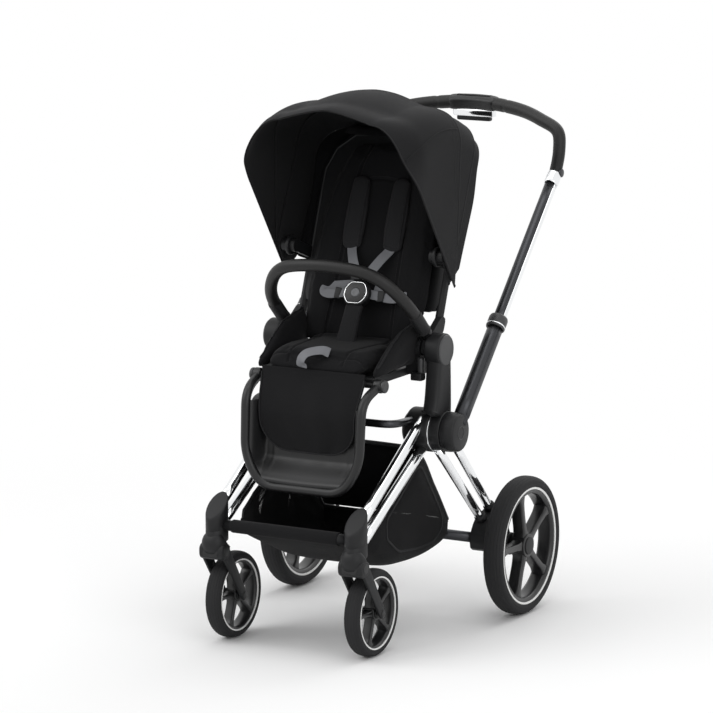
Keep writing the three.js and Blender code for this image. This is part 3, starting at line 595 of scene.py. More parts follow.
def inflate(pads: dict, voxel: float = 5.0, pressure: float = 4.0, cap: float = 7.0) -> None:
    """Swells closed pads as stuffed cloth, all in one run of 20 frames.

    Each pad is remeshed, blown up by Cloth with no gravity, held to at most `cap` millimetres of
    movement and given one subdivision.

    Args:
        pads: piece -> share of the movement that it keeps.
        voxel: size of the new mesh, in millimetres.
        pressure: the cloth's inner pressure.
        cap: the furthest that a point may move, in millimetres.
    """
    for pad in pads:
        add_modifier(pad, "REMESH", mode="VOXEL", voxel_size=voxel * MM)
        apply_modifiers(pad)
        add_modifier(pad, "SMOOTH", factor=0.5, iterations=3)
        apply_modifiers(pad)
    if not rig.quick():
        rest = {pad: points_of(pad) for pad in pads}
        for pad in pads:
            cloth = add_modifier(pad, "CLOTH").settings
            cloth.use_pressure = True
            cloth.uniform_pressure_force = pressure
            cloth.effector_weights.gravity = 0
            cloth.quality = 4
            cloth.tension_stiffness = cloth.compression_stiffness = 8
        for number in range(1, 21):
            bpy.context.scene.frame_set(number)
        for pad, share in pads.items():
            apply_modifiers(pad)
            moved = points_of(pad) - rest[pad]
            far = np.linalg.norm(moved, axis=1, keepdims=True)
            move_points(pad, rest[pad] + moved * share * np.minimum(1, cap / np.maximum(far, 1e-6)))
        bpy.context.scene.frame_set(1)
    for pad in pads:
        soften(pad)
        apply_modifiers(pad)


def sew(piece: bpy.types.Object, distance: Callable, depth: float, width: float) -> None:
    """Presses a sewn channel into a pad: points sink along their normals by a bell curve.

    Args:
        piece: the pad.
        distance: gives each point's distance from the seam line, in millimetres.
        depth: how deep the channel is.
        width: how wide it is.
    """
    points = points_of(piece)
    press = depth * np.exp(-(distance(points) / width) ** 2)
    move_points(piece, points - normals_of(piece) * press[:, None])


def snap(path: np.ndarray, piece: bpy.types.Object, lift: float) -> tuple[np.ndarray, np.ndarray]:
    """Lays a line on a piece's surface.

    Args:
        path: points near the surface.
        piece: what it lies on.
        lift: height above the surface.

    Returns:
        The line's points, and the surface's outward direction at each.
    """
    tree = BVHTree.FromObject(piece, bpy.context.evaluated_depsgraph_get())
    hits = [tree.find_nearest(Vector((point + SHIFT) * MM)) for point in path]
    normal = np.array([list(hit[1]) for hit in hits])
    return np.array([list(hit[0]) for hit in hits]) / MM - SHIFT + normal * lift, normal


def stitch_row(path: np.ndarray, piece: bpy.types.Object, lift: float, pitch: float, length: float,
               radius: float) -> Patch:
    """A row of stitches along a path laid on a piece.

    Args:
        path: Points near the piece's surface.
        piece: The sewn piece.
        lift: How far the thread's centre stands off the cloth.
        pitch: Distance from one stitch to the next.
        length: Length of one stitch.
        radius: Radius of the thread.

    Returns:
        The stitches, as one patch.
    """
    line, face = snap(path, piece, lift)
    return stitches(line, face, pitch, length, radius)


# ------------------------------------------------------------------ finishes


class Detail(Enum):
    """The surface pattern that a finish carries."""

    WEAVE = "woven cloth"
    OPEN_MESH = "open mesh cloth"
    RIB = "ribbed webbing"
    LEATHER = "leather grain"
    MOULDED = "moulded grain"
    BRUSHED = "polished metal"
    RUBBER = "rubber"


Wired = bpy.types.NodeSocket


@dataclass
class Wiring:
    """Makes and joins the nodes of one tree."""

    tree: bpy.types.NodeTree

    def add(self, kind: str, inputs: dict | None = None, **settings: object) -> bpy.types.Node:
        """Adds a node; an input's value is a number, a colour or the socket that feeds it."""
        node = self.tree.nodes.new(kind)
        for name, value in settings.items():
            setattr(node, name, value)
        for name, value in (inputs or {}).items():
            if isinstance(value, bpy.types.NodeSocket):
                self.tree.links.new(value, node.inputs[name])
            else:
                node.inputs[name].default_value = value
        return node

    def math(self, operation: str, *values: object) -> Wired:
        """A Math node's output."""
        return self.add("ShaderNodeMath", dict(enumerate(values)), operation=operation).outputs[0]

    def noise(self, vector: Wired, scale: object, detail: float = 3.0) -> Wired:
        """A Noise Texture's value."""
        return self.add("ShaderNodeTexNoise", {"Vector": vector, "Scale": scale, "Detail": detail}).outputs[0]

    def tinted(self, colour: Wired, amount: Wired) -> Wired:
        """A colour made lighter or darker by a number about 1."""
        vector = self.add("ShaderNodeVectorMath", {0: colour, "Scale": amount}, operation="SCALE")
        return vector.outputs[0]


def new_group(name: str) -> tuple[bpy.types.NodeTree, Wiring, bpy.types.Node]:
    """A shader node group with the sockets that every pattern here shares.

    Args:
        name: the pattern's name.

    Returns:
        The group, its wiring and its input node. Pitch is the pattern's size in metres, and Tone how
        far colour and roughness vary.
    """
    group = bpy.data.node_groups.new(name, "ShaderNodeTree")
    sockets = (("Vector", "Vector"), ("Color", "Color"), ("Roughness", "Float"), ("Pitch", "Float"),
               ("Tone", "Float"))
    for label, kind in sockets:
        group.interface.new_socket(label, in_out="INPUT", socket_type=f"NodeSocket{kind}")
    for label, kind in (("Color", "Color"), ("Roughness", "Float"), ("Height", "Float"), ("Holes", "Float")):
        group.interface.new_socket(label, in_out="OUTPUT", socket_type=f"NodeSocket{kind}")
    wiring = Wiring(group)
    return group, wiring, wiring.add("NodeGroupInput")


def pattern_group(detail: Detail) -> bpy.types.NodeTree:
    """Builds a pattern once: colour and roughness that vary, with painted shade in the low places of the relief, a
    height for bump, and holes.

    Weave and webbing are crossed sine waves on the cloth's own distances; leather and moulded grain are
    cells and noise in space; metal and rubber are fine noise.
    """
    name = detail.value.replace(" ", "_")
    if name in bpy.data.node_groups:
        return bpy.data.node_groups[name]
    group, w, given = new_group(name)
    vector, pitch = given.outputs["Vector"], given.outputs["Pitch"]
    rate = w.math("DIVIDE", 1.0, pitch)
    cloudy = w.noise(vector, 9.0)
    fine = w.noise(vector, rate, 4.0)
    holes = w.math("MULTIPLY", 0.0, fine)
    if detail in (Detail.WEAVE, Detail.OPEN_MESH, Detail.RIB):
        parts = w.add("ShaderNodeSeparateXYZ", {0: vector})
        turn = w.math("MULTIPLY", rate, 2 * math.pi)
        warp = w.math("SINE", w.math("MULTIPLY", parts.outputs[0], turn))
        weft = w.math("SINE", w.math("MULTIPLY", parts.outputs[1], turn))
        if detail is Detail.RIB:
            height = w.math("ADD", w.math("MULTIPLY", w.math("ABSOLUTE", warp), 0.7), w.math("MULTIPLY", weft, 0.3))
        elif detail is Detail.OPEN_MESH:
            height = w.math("MULTIPLY", warp, weft)
            holes = w.math("GREATER_THAN", height, 0.62)
        else:
            crossed = w.math("MULTIPLY", warp, weft)
            height = w.math("ADD", w.math("MULTIPLY", crossed, 0.6), w.math("MULTIPLY", fine, 0.4))
    elif detail in (Detail.LEATHER, Detail.MOULDED):
        cells = w.add("ShaderNodeTexVoronoi", {"Vector": vector, "Scale": rate}).outputs["Distance"]
        share = 0.8 if detail is Detail.LEATHER else 0.35
        height = w.math("ADD", w.math("MULTIPLY", cells, share), w.math("MULTIPLY", fine, 1 - share))
    else:
        height = fine
    # colour varies at random with cloudy noise, and is also painted lighter on the raised parts of the relief and
    # darker in its low places: painted shade
    vary = w.math("ADD", w.math("MULTIPLY", w.math("SUBTRACT", cloudy, 0.5), 2.0),
                  w.math("MULTIPLY", w.math("SUBTRACT", height, 0.4), 0.8))
    tone_and_hollow_shade = w.math("MULTIPLY", vary, given.outputs["Tone"])
    colour = w.tinted(given.outputs["Color"], w.math("ADD", 1.0, tone_and_hollow_shade))
    rough = w.math("MULTIPLY", given.outputs["Roughness"], w.math("ADD", 1.0, w.math("MULTIPLY", tone_and_hollow_shade, 0.5)))
    w.add("NodeGroupOutput", {"Color": colour, "Roughness": rough, "Height": height, "Holes": holes})
    return group


@dataclass(frozen=True)
class Finish:
    """What a surface is made of; its colour is linear, pitch and bump are in metres."""

    name: str
    slot: str
    colour: tuple[float, float, float]
    roughness: float
    detail: Detail
    pitch: float
    bump: float
    tone: float = 0.15
    metallic: float = 0.0
    sheen: float = 0.0
    coat: float = 0.0
    specular: float = 0.5
    follows_cloth: bool = False

    def material(self) -> bpy.types.Material:
        """The finish as a material, made once."""
        if self.name in bpy.data.materials:
            return bpy.data.materials[self.name]
        made = bpy.data.materials.new(self.name)
        made.use_nodes = True
        w = Wiring(made.node_tree)
        shader = made.node_tree.nodes["Principled BSDF"]
        coordinates = w.add("ShaderNodeTexCoord")
        vector = coordinates.outputs["UV" if self.follows_cloth else "Object"]
        pattern = w.add("ShaderNodeGroup", node_tree=pattern_group(self.detail))
        w.tree.links.new(vector, pattern.inputs["Vector"])
        for name, value in (("Color", (*self.colour, 1)), ("Roughness", self.roughness),
                            ("Pitch", self.pitch), ("Tone", self.tone)):
            pattern.inputs[name].default_value = value
        bump = w.add("ShaderNodeBump", {"Height": pattern.outputs["Height"], "Distance": self.bump,
                                        "Strength": 0.7})
        w.tree.links.new(bump.outputs[0], shader.inputs["Normal"])
        w.tree.links.new(pattern.outputs["Color"], shader.inputs["Base Color"])
        w.tree.links.new(pattern.outputs["Roughness"], shader.inputs["Roughness"])
        shader.inputs["Metallic"].default_value = self.metallic
        shader.inputs["Sheen Weight"].default_value = self.sheen
        shader.inputs["Sheen Roughness"].default_value = 0.5
        shader.inputs["Coat Weight"].default_value = self.coat
        shader.inputs["Specular IOR Level"].default_value = self.specular
        if self.detail is Detail.OPEN_MESH:
            area = w.add("ShaderNodeAttribute", attribute_name="open_mesh")
            open_share = w.math("MULTIPLY", pattern.outputs["Holes"], area.outputs["Fac"])
            w.tree.links.new(w.math("SUBTRACT", 1.0, open_share), shader.inputs["Alpha"])
        return made


CANOPY_CLOTH = Finish("canopy_cloth", "canopy_fabric", (0.0108, 0.0108, 0.0116), 0.85, Detail.WEAVE, 0.0011,
                      0.00012, 0.10, sheen=0.04, specular=0.12, follows_cloth=True)
# a darker copy of the canopy cloth, with less sheen and specular: painted shade for the canopy's inner faces and the
# shroud
CANOPY_PAINTED_SHADE = Finish("canopy_lining", "canopy_fabric", (0.0072, 0.0072, 0.0078), 0.8, Detail.WEAVE, 0.0011,
                       0.0001, 0.10, sheen=0.02, specular=0.08, follows_cloth=True)
PIPING = Finish("piping", "canopy_fabric", (0.0135, 0.0135, 0.0145), 0.6, Detail.WEAVE, 0.0009, 0.0001, 0.1,
                sheen=0.02, specular=0.12, follows_cloth=True)
SEAT_CLOTH = Finish("seat_cloth", "seat_fabric", (0.0085, 0.0085, 0.0092), 0.88, Detail.MOULDED, 0.0008,
                    0.00015, 0.18, sheen=0.04, specular=0.1)
APRON_CLOTH = Finish("apron_cloth", "seat_fabric", (0.0095, 0.0095, 0.0102), 0.85, Detail.WEAVE, 0.0011, 0.00012,
                     0.15, sheen=0.04, specular=0.1, follows_cloth=True)
PAD_CLOTH = Finish("shoulder_pad_cloth", "seat_fabric", (0.0185, 0.0185, 0.0197), 0.85, Detail.WEAVE, 0.0012,
                   0.00015, 0.12, sheen=0.05, specular=0.1, follows_cloth=True)
WEBBING = Finish("webbing", "webbing", (0.029, 0.0293, 0.031), 0.8, Detail.RIB, 0.0018, 0.00025, 0.22,
                 sheen=0.08, specular=0.15, follows_cloth=True)
BASKET_CLOTH = Finish("basket_cloth", "basket_fabric", (0.0085, 0.0085, 0.0092), 0.9, Detail.OPEN_MESH, 0.0024,
                      0.0002, 0.2, sheen=0.03, specular=0.1, follows_cloth=True)
LEATHER = Finish("stitched_leather", "leather", (0.0075, 0.0073, 0.0073), 0.48, Detail.LEATHER, 0.0016, 0.00018,
                 0.15, specular=0.35)
THREAD = Finish("thread", "leather", (0.013, 0.0128, 0.0128), 0.7, Detail.RUBBER, 0.001, 0.0001, 0.1)
PLASTIC = Finish("black_plastic", "plastic", (0.0082, 0.0084, 0.0092), 0.5, Detail.MOULDED, 0.0007, 0.00006,
                 0.12, specular=0.3)
SATIN_PLASTIC = Finish("satin_plastic", "legrest_plastic", (0.0062, 0.0063, 0.0067), 0.4, Detail.MOULDED,
                       0.0009, 0.00004, 0.1, specular=0.42)
GREY_PLASTIC = Finish("grey_plastic", "plastic", (0.034, 0.0345, 0.036), 0.45, Detail.MOULDED, 0.0007, 0.00005, 0.1)
CHROME = Finish("chrome", "chrome_tube", (0.86, 0.87, 0.88), 0.07, Detail.BRUSHED, 0.004, 0.000004, 0.06,
                metallic=1.0)
DARK_METAL = Finish("dark_metal", "dark_tube", (0.05, 0.051, 0.055), 0.32, Detail.BRUSHED, 0.003, 0.00001, 0.08,
                    metallic=0.9)
RUBBER = Finish("tyre_rubber", "tyre", (0.0185, 0.0185, 0.0195), 0.75, Detail.RUBBER, 0.0015, 0.0001, 0.15,
                specular=0.22)
RIM_PAINT = Finish("rim_paint", "rim", (0.0082, 0.0083, 0.0088), 0.33, Detail.MOULDED, 0.001, 0.00003, 0.1)
WHITE_RING = Finish("white_ring", "rim", (0.82, 0.82, 0.81), 0.4, Detail.RUBBER, 0.002, 0.00002, 0.04)
BUTTON_METAL = Finish("button_metal", "button", (0.09, 0.0915, 0.095), 0.42, Detail.BRUSHED, 0.003, 0.00001,
                      0.06, metallic=1.0)


def dress(piece: bpy.types.Object, finish: Finish, body: str | tuple, stands_for: tuple = ()) -> bpy.types.Object:
    """Gives a finished piece its material, slot and body.

    Args:
        piece: the piece, with its place in its mesh.
        finish: its finish.
        body: the body that it rides on, or (body a, body b, start, end) where it bends between two.
        stands_for: CAD nodes that it replaces.

    Returns:
        The piece.
    """
    piece.data.materials.clear()
    piece.data.materials.append(finish.material())
    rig.slot(piece, finish.slot)
    if isinstance(body, str):
        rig.ride(piece, body)
    else:
        first, second, start, end = body
        ends = ((np.array(point, float) + SHIFT) * MM for point in (start, end))
        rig.blend(piece, first, second, *(tuple(point) for point in ends))
    if stands_for:
        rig.replaces(piece, *stands_for)
    log.info("%s: %d faces, %s, on %s", piece.name, len(piece.data.polygons), finish.name, body)
    return piece


def mirrored(make: Callable) -> None:
    """Calls make(side, word) for the left and the right."""
    for side, word in SIDES:
        make(side, word)


# ------------------------------------------------------------------ studio


@dataclass
class Studio:
    """Camera, lamps, sky and floor. Places are in metres in the row frame."""

    eye: tuple[float, float, float] = (3.714, -6.845, 1.955)
    look_back: tuple[float, float, float] = (0.4752, -0.8617, 0.1779)
    lens: float = 190.4
    sensor: float = 36.0
    sky_level: float = 0.62
    lamps: tuple = (
        ("key", (-2.6, -2.4, 3.4), 3.0, 62.0),
        ("fill", (3.6, -2.2, 2.2), 2.6, 34.0),
        ("back", (0.4, 3.4, 3.0), 3.0, 44.0),
        ("top", (0.0, -0.2, 3.6), 2.2, 26.0),
    )

    def build(self) -> None:
        """Makes the camera, the lamps, the sky and the floor."""
        camera = bpy.data.objects.new("camera", bpy.data.cameras.new("camera"))
        bpy.context.scene.collection.objects.link(camera)
        camera.data.lens = self.lens
        camera.data.sensor_width = self.sensor
        camera.location = self.eye
        camera.rotation_mode = "QUATERNION"
        camera.rotation_quaternion = (-Vector(self.look_back)).to_track_quat("-Z", "Y")
        bpy.context.scene.camera = camera
        for name, place, size, power in self.lamps:
            self.lamp(name, place, size, power)
        self.sky()
        self.floor()
        bpy.context.scene.view_settings.view_transform = "Standard"

    def lamp(self, name: str, place: tuple, size: float, power: float) -> None:
        """A soft square lamp that faces the middle of the pushchair."""
        data = bpy.data.lights.new(name, "AREA")
        data.size = size
        data.energy = power
        made = bpy.data.objects.new(name, data)
        made.location = place
        aim = Vector((0, 0, 0.55)) - Vector(place)
        made.rotation_mode = "QUATERNION"
        made.rotation_quaternion = aim.to_track_quat("-Z", "Y")
        bpy.context.scene.collection.objects.link(made)

    def seen_directly(self, w: Wiring) -> Wired:
        """One for camera, mirror and glass rays, and nought for the rays that light the object."""
        path = w.add("ShaderNodeLightPath")
        mirror = w.math("MAXIMUM", path.outputs["Is Glossy Ray"], path.outputs["Is Transmission Ray"])
        return w.math("MAXIMUM", path.outputs["Is Camera Ray"], mirror)

    def sky(self) -> None:
        """An even sky: white where it is seen, softer where it lights."""
        world = bpy.data.worlds.new("sky")
        bpy.context.scene.world = world
        world.use_nodes = True
        world.node_tree.nodes.clear()
        w = Wiring(world.node_tree)
        soft = w.add("ShaderNodeBackground", {"Color": (1, 1, 1, 1), "Strength": self.sky_level})
        white = w.add("ShaderNodeBackground", {"Color": (1, 1, 1, 1), "Strength": 1.0})
        both = w.add("ShaderNodeMixShader", {0: self.seen_directly(w), 1: soft.outputs[0], 2: white.outputs[0]})
        w.add("ShaderNodeOutputWorld", {"Surface": both.outputs[0]})

    def floor(self) -> None:
        """A pale floor that takes the shadow near the pushchair and runs into white further out."""
        mesh = bpy.data.meshes.new("studio_floor")
        reach = 14.0
        mesh.from_pydata([(-reach, -reach, 0), (reach, -reach, 0), (reach, reach, 0), (-reach, reach, 0)], [],
                         [(0, 1, 2, 3)])
        floor = bpy.data.objects.new("studio_floor", mesh)
        bpy.context.scene.collection.objects.link(floor)
        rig.stage(floor)
        paint = bpy.data.materials.new("studio_floor")
        paint.use_nodes = True
        w = Wiring(paint.node_tree)
        shader = paint.node_tree.nodes["Principled BSDF"]
        shader.inputs["Base Color"].default_value = (0.93, 0.93, 0.93, 1)
        shader.inputs["Roughness"].default_value = 0.9
        shader.inputs["Specular IOR Level"].default_value = 0.0
        spot = w.add("ShaderNodeTexCoord").outputs["Object"]
        distance = w.add("ShaderNodeVectorMath", {0: spot}, operation="LENGTH").outputs["Value"]
        ramp = w.add("ShaderNodeMapRange", {"Value": distance, "From Min": 0.75, "From Max": 1.9})
        ramp.interpolation_type = "SMOOTHSTEP"
        glow = w.add("ShaderNodeEmission", {"Color": (1, 1, 1, 1), "Strength": 1.0})
        share = w.math("MULTIPLY", ramp.outputs[0], self.seen_directly(w))
        both = w.add("ShaderNodeMixShader", {0: share, 1: shader.outputs[0], 2: glow.outputs[0]})
        w.tree.links.new(both.outputs[0], paint.node_tree.nodes["Material Output"].inputs["Surface"])
        mesh.materials.append(paint)


# ------------------------------------------------------------------ chassis


def rod_profile(half: float, edge: float, count: int = 5) -> tuple[np.ndarray, np.ndarray]:
    """Stations and scale for a body with round ends: (distance from the middle, size share)."""
    a = np.linspace(0, np.pi / 2, count)
    reach = np.concatenate([-half + edge * (1 - np.cos(a)), (half - edge * (1 - np.cos(a)))[::-1]])
    return reach, np.concatenate([np.sin(a) * 0.25 + 0.75, (np.sin(a) * 0.25 + 0.75)[::-1]])


def block(middle: tuple, half: tuple, power: float = 4.0, edge: float = 3.0, along: int = 0) -> Patch:
    """A soft-edged block: a superellipse carried along one axis, drawn in at both ends."""
    reach, scale = rod_profile(half[along], edge)
    path = np.zeros((len(reach), 3))
    path[:, along] = reach
    path += np.array(middle, float)
    others = [k for k in range(3) if k != along]
    face = np.zeros(3)
    face[others[1]] = 1
    return sweep(path, oval(half[others[0]], half[others[1]], 36, power), tuple(face), scale)


@dataclass
class Chassis:
    """Front and rear frames: bright tubes, hubs, towers, crossbars and leg sockets; the brackets are carried-over CAD
    nodes.
    """

    tube_x: float = 165.0
    tube_radius: float = 11.0
    leg_radius: float = 9.5
    caster: tuple[float, float] = (162.0, -300.0)
    bar_height: float = 250.0
    tower_half: tuple[float, float] = (21.0, 29.0)
    slope: float = 24 / 29

    def build(self) -> None:
        """Builds and dresses every piece of both frames."""
        mirrored(self.front_tubes)
        mirrored(self.hub)
        mirrored(self.seat_post)
        mirrored(self.tower)
        mirrored(self.rear_legs)
        self.bars()

    def front_tubes(self, side: int, word: str) -> None:
        """The two bright tubes from hub to tower."""
        x, (_, caster_y) = side * self.tube_x, self.caster
        ends = {"upper": ((-20, HUB_Z + 27), (caster_y + 20, HUB_Z - 137.5)),
                "lower": ((-20, HUB_Z - 33), (caster_y + 24, HUB_Z - 180))}
        for which, (top, foot) in ends.items():
            pipe = tube(straight((x, *top), (x, *foot), 8), self.tube_radius, sides=32)
            dress(build(f"front_tube_{which}_{word}", pipe), CHROME, "front_frame", (f"front_{which}_tube_{word}",))

    def hub(self, side: int, word: str) -> None:
        """The main hub: housing and bright ring on the front frame, disc on the rear frame."""
        housing = drum(45, 130, 185.3, 5, side, 0, HUB_Z)
        collar = drum(34, 122, 134, 3, side, 0, HUB_Z)
        dress(build(f"hub_body_{word}", housing, collar), PLASTIC, "front_frame", (f"hub_housing_{word}",))
        ring = drum(43.6, 184.8, 187.2, 0.8, side, 0, HUB_Z)
        dress(build(f"hub_bright_ring_{word}", ring), CHROME, "front_frame")
        disc = drum(42, 186.6, 211.2, 2.5, side, 0, HUB_Z)
        dress(build(f"rear_hub_disc_{word}", disc), PLASTIC, "rear_frame")

    def seat_post(self, side: int, word: str) -> None:
        """The moulded post from hub to seat pivot, with the pivot drum and its pale cap."""
        z = np.linspace(HUB_Z + 26, SEAT_PIVOT_Z + 4, 30)
        share = (z - z[0]) / (z[-1] - z[0])
        front = -50 + 26 * share ** 0.55 - 10 * np.exp(-share * 9)
        back = 33 - 7 * share
        path = np.stack([np.full_like(z, side * 190), (front + back) / 2, z], axis=-1)
        depth = (back - front) / 2
        scale = np.stack([np.full_like(z, 18.0), depth], axis=-1)
        post = sweep(path, oval(1, 1, 44, 4.5)[:, ::-1] * [1, 1], (0, 1, 0), scale)
        pivot = drum(BOSS_RADIUS, 172, 206.5, 4, side, 0, SEAT_PIVOT_Z)
        pin = drum(8, 140, 175, 1, side, 0, SEAT_PIVOT_Z)
        dress(build(f"seat_post_body_{word}", post, pivot, pin), PLASTIC, "front_frame", (f"seat_post_{word}",))
        cap = drum(31.5, 204, 209.3, 2.6, side, 0, SEAT_PIVOT_Z)
        dress(build(f"seat_pivot_cap_{word}", cap), GREY_PLASTIC, "front_frame")
        lever = block((side * 162, -24, 560), (6, 8, 19), 3.0, 4, along=2)
        dress(build(f"adapter_lever_{word}", lever), GREY_PLASTIC, "front_frame")
        latch = block((side * 158, -30, 541), (12, 12, 8), 5.0, 2, along=0)
        dress(build(f"adapter_latch_{word}", latch), PLASTIC, "front_frame")

    def tower(self, side: int, word: str) -> None:
        """The oval caster tower: a slanted, soft-edged top and one curved parting line."""
        rows = np.array([(3, 215, 0), (0.8, 215.8, 0), (0, 218, 0), (0, 242.4, 0.2), (0.9, 243.6, 0.2),
                         (0.9, 244.4, 0.2), (0, 245.6, 0.2), (0, 270, 0.6), (0, 286.5, 1), (0.7, 289.4, 1),
                         (2.4, 290.7, 1), (4.5, 291.2, 1), (12, 292, 1), (20, 292.3, 1)])
        inset, height, slant = rows.T[:, :, None]
        t = np.linspace(0, 2 * np.pi, 72, endpoint=False)[None]
        x, y = ((half - inset * half / 21) * wave for half, wave in zip(self.tower_half, (np.cos(t), np.sin(t))))
        grid = np.stack([side * self.caster[0] + x, self.caster[1] + y, height + slant * self.slope * y], axis=-1)
        dress(build(f"tower_{word}", lay(grid)), PLASTIC, "front_frame", (f"swivel_tower_{word}",))

    def rear_legs(self, side: int, word: str) -> None:
        """The two bright legs from hub disc to bracket."""
        hub_x, foot_x = side * 198.5, side * 217
        ends = {"front": ((-20, HUB_Z - 34), (153, 205)), "back": ((60, HUB_Z - 42), (192, 220))}
        for which, (top, foot) in ends.items():
            pipe = tube(straight((hub_x, *top), (foot_x, *foot), 8), self.leg_radius, sides=32)
            dress(build(f"rear_leg_{which}_{word}", pipe), CHROME, "rear_frame", (f"rear_{which}_leg_{word}",))
            tangent = unit(np.array([0, foot[0] - top[0], foot[1] - top[1]], float))
            sock = turned([(0, -26), (11.5, -26), (12.5, -23), (13, 6), (0, 6)], (foot_x, *foot), tuple(tangent))
            dress(build(f"leg_socket_{which}_{word}", sock), PLASTIC, "rear_frame")

    def bars(self) -> None:
        """Front crossbar, fold bar and rear crossbar."""
        _, caster_y = self.caster
        front = tube(straight((-150, caster_y, self.bar_height), (150, caster_y, self.bar_height), 4), 11, sides=32)
        dress(build("front_bar", front), PLASTIC, "front_frame", ("front_crossbar",))
        arm = self.tube_x - self.tube_radius - 9
        path = bent([(-arm, -20, HUB_Z + 22), (-arm, -119, HUB_Z + 28), (arm, -119, HUB_Z + 28),
                     (arm, -20, HUB_Z + 22)], 34, 80)
        dress(build("fold_bar_tube", tube(path, 8, sides=24)), DARK_METAL, "front_frame", ("fold_bar",))
        sleeve = tube(straight((-62, -119, HUB_Z + 28), (62, -119, HUB_Z + 28), 60), 10, sides=24,
                      scale=1 + 0.06 * np.sign(np.sin(np.linspace(0, 60, 60))))
        dress(build("fold_bar_grip", sleeve), PLASTIC, "front_frame")
        rear = tube(straight((-226, 138, 174), (226, 138, 174), 4), 11, sides=32)
        dress(build("rear_bar", rear), DARK_METAL, "rear_frame", ("rear_crossbar",))


# ------------------------------------------------------------------ wheels


@dataclass
class Wheel:
    """One wheel: tyre with fine grooves, white ring, five-spoke rim and hub caps."""

    name: str
    word: str
    body: str
    centre: tuple[float, float, float]
    radius: float
    width: float
    depth: float
    ring_radius: float
    ring_width: float
    grooves: tuple[float, ...] = (-0.78, -0.52, -0.2, 0.2, 0.52, 0.78)

    def build(self) -> None:
        """Builds and dresses the wheel's pieces."""
        self.tyre()
        self.ring()
        self.rim()

    def tyre(self) -> None:
        """A round section turned about the axle, with grooves pressed in by bell curves."""
        a = np.linspace(0, 2 * np.pi, 120, endpoint=False)
        half, mid = self.width / 2, self.radius - self.depth * 0.53
        c, s = np.cos(a), np.sin(a)
        x = half * np.sign(c) * np.abs(c) ** 0.8
        press = sum(0.9 * np.exp(-(((x / half) - g) / 0.035) ** 2) for g in self.grooves) * (s > 0.05)
        side_press = 0.7 * np.exp(-((s - 0.1) / 0.05) ** 2)
        r = mid + self.depth * 0.53 * np.sign(s) * np.abs(s) ** 0.85 - press
        x = x * (1 - side_press / half)
        patch = turned(list(zip(r, x)), self.centre, segments=112)
        dress(build(f"{self.name}_tyre_body_{self.word}", patch), RUBBER, self.body,
              (f"{self.name}_tyre_{self.word}",))

    def ring(self) -> None:
        """The white ring on both faces, where tyre meets rim."""
        face = self.width * 0.36 + 2.4
        patches = []
        for edge in (-1, 1):
            section = oval(self.ring_width / 2, 1.6, 16, 3)
            patches.append(turned([(self.ring_radius + p, edge * (face + q)) for p, q in section], self.centre,
                                  segments=112))
        dress(build(f"{self.name}_white_ring_{self.word}", *patches), WHITE_RING, self.body)

    def rim(self) -> None:
        """A channelled ring, five flared spokes and a hub with round caps."""
        half = self.width * 0.36
        outer = self.ring_radius + self.ring_width / 2 + 1
        inner = outer * 0.875
        ring = turned([(inner, -half * 0.7), (inner + 2, -half - 1), (outer - 1, -half - 2), (outer, -half),
                       (outer, half), (outer - 1, half + 2), (inner + 2, half + 1), (inner, half * 0.7)],
                      self.centre, segments=112)
        reach = np.linspace(0.0, inner + 2, 26)
        share = reach / inner
        tangential = outer * (0.062 + 0.075 * np.exp(-((share - 0.06) / 0.16) ** 2)
                              + 0.055 * np.exp(-((1.04 - share) / 0.11) ** 2))
        axial = half * (1.0 - 0.16 * np.sin(np.pi * np.clip(share, 0, 1)))
        spokes = []
        for k in range(5):
            angle = k * 2 * math.pi / 5 + math.pi / 2 + 0.25
            out = np.array([0, math.cos(angle), math.sin(angle)])
            path = np.array(self.centre) + reach[:, None] * out
            spokes.append(sweep(path, oval(1, 1, 28, 5), (1, 0, 0), np.stack([tangential, axial], -1)))
        hub = drum(outer * 0.2, -half - 1, half + 1, 2, 1, self.centre[1], self.centre[2])
        hub.points[:, 0] += self.centre[0]
        dress(build(f"{self.name}_rim_body_{self.word}", ring, hub, *spokes), RIM_PAINT, self.body,
              (f"{self.name}_rim_{self.word}",))
        caps = []
        for edge in (-1, 1):
            cap = drum(outer * 0.15, half, half + 3.4, 1.6, edge, self.centre[1], self.centre[2])
            cap.points[:, 0] += self.centre[0]
            caps.append(cap)
        dress(build(f"{self.name}_hub_cap_{self.word}", *caps), PLASTIC, self.body)


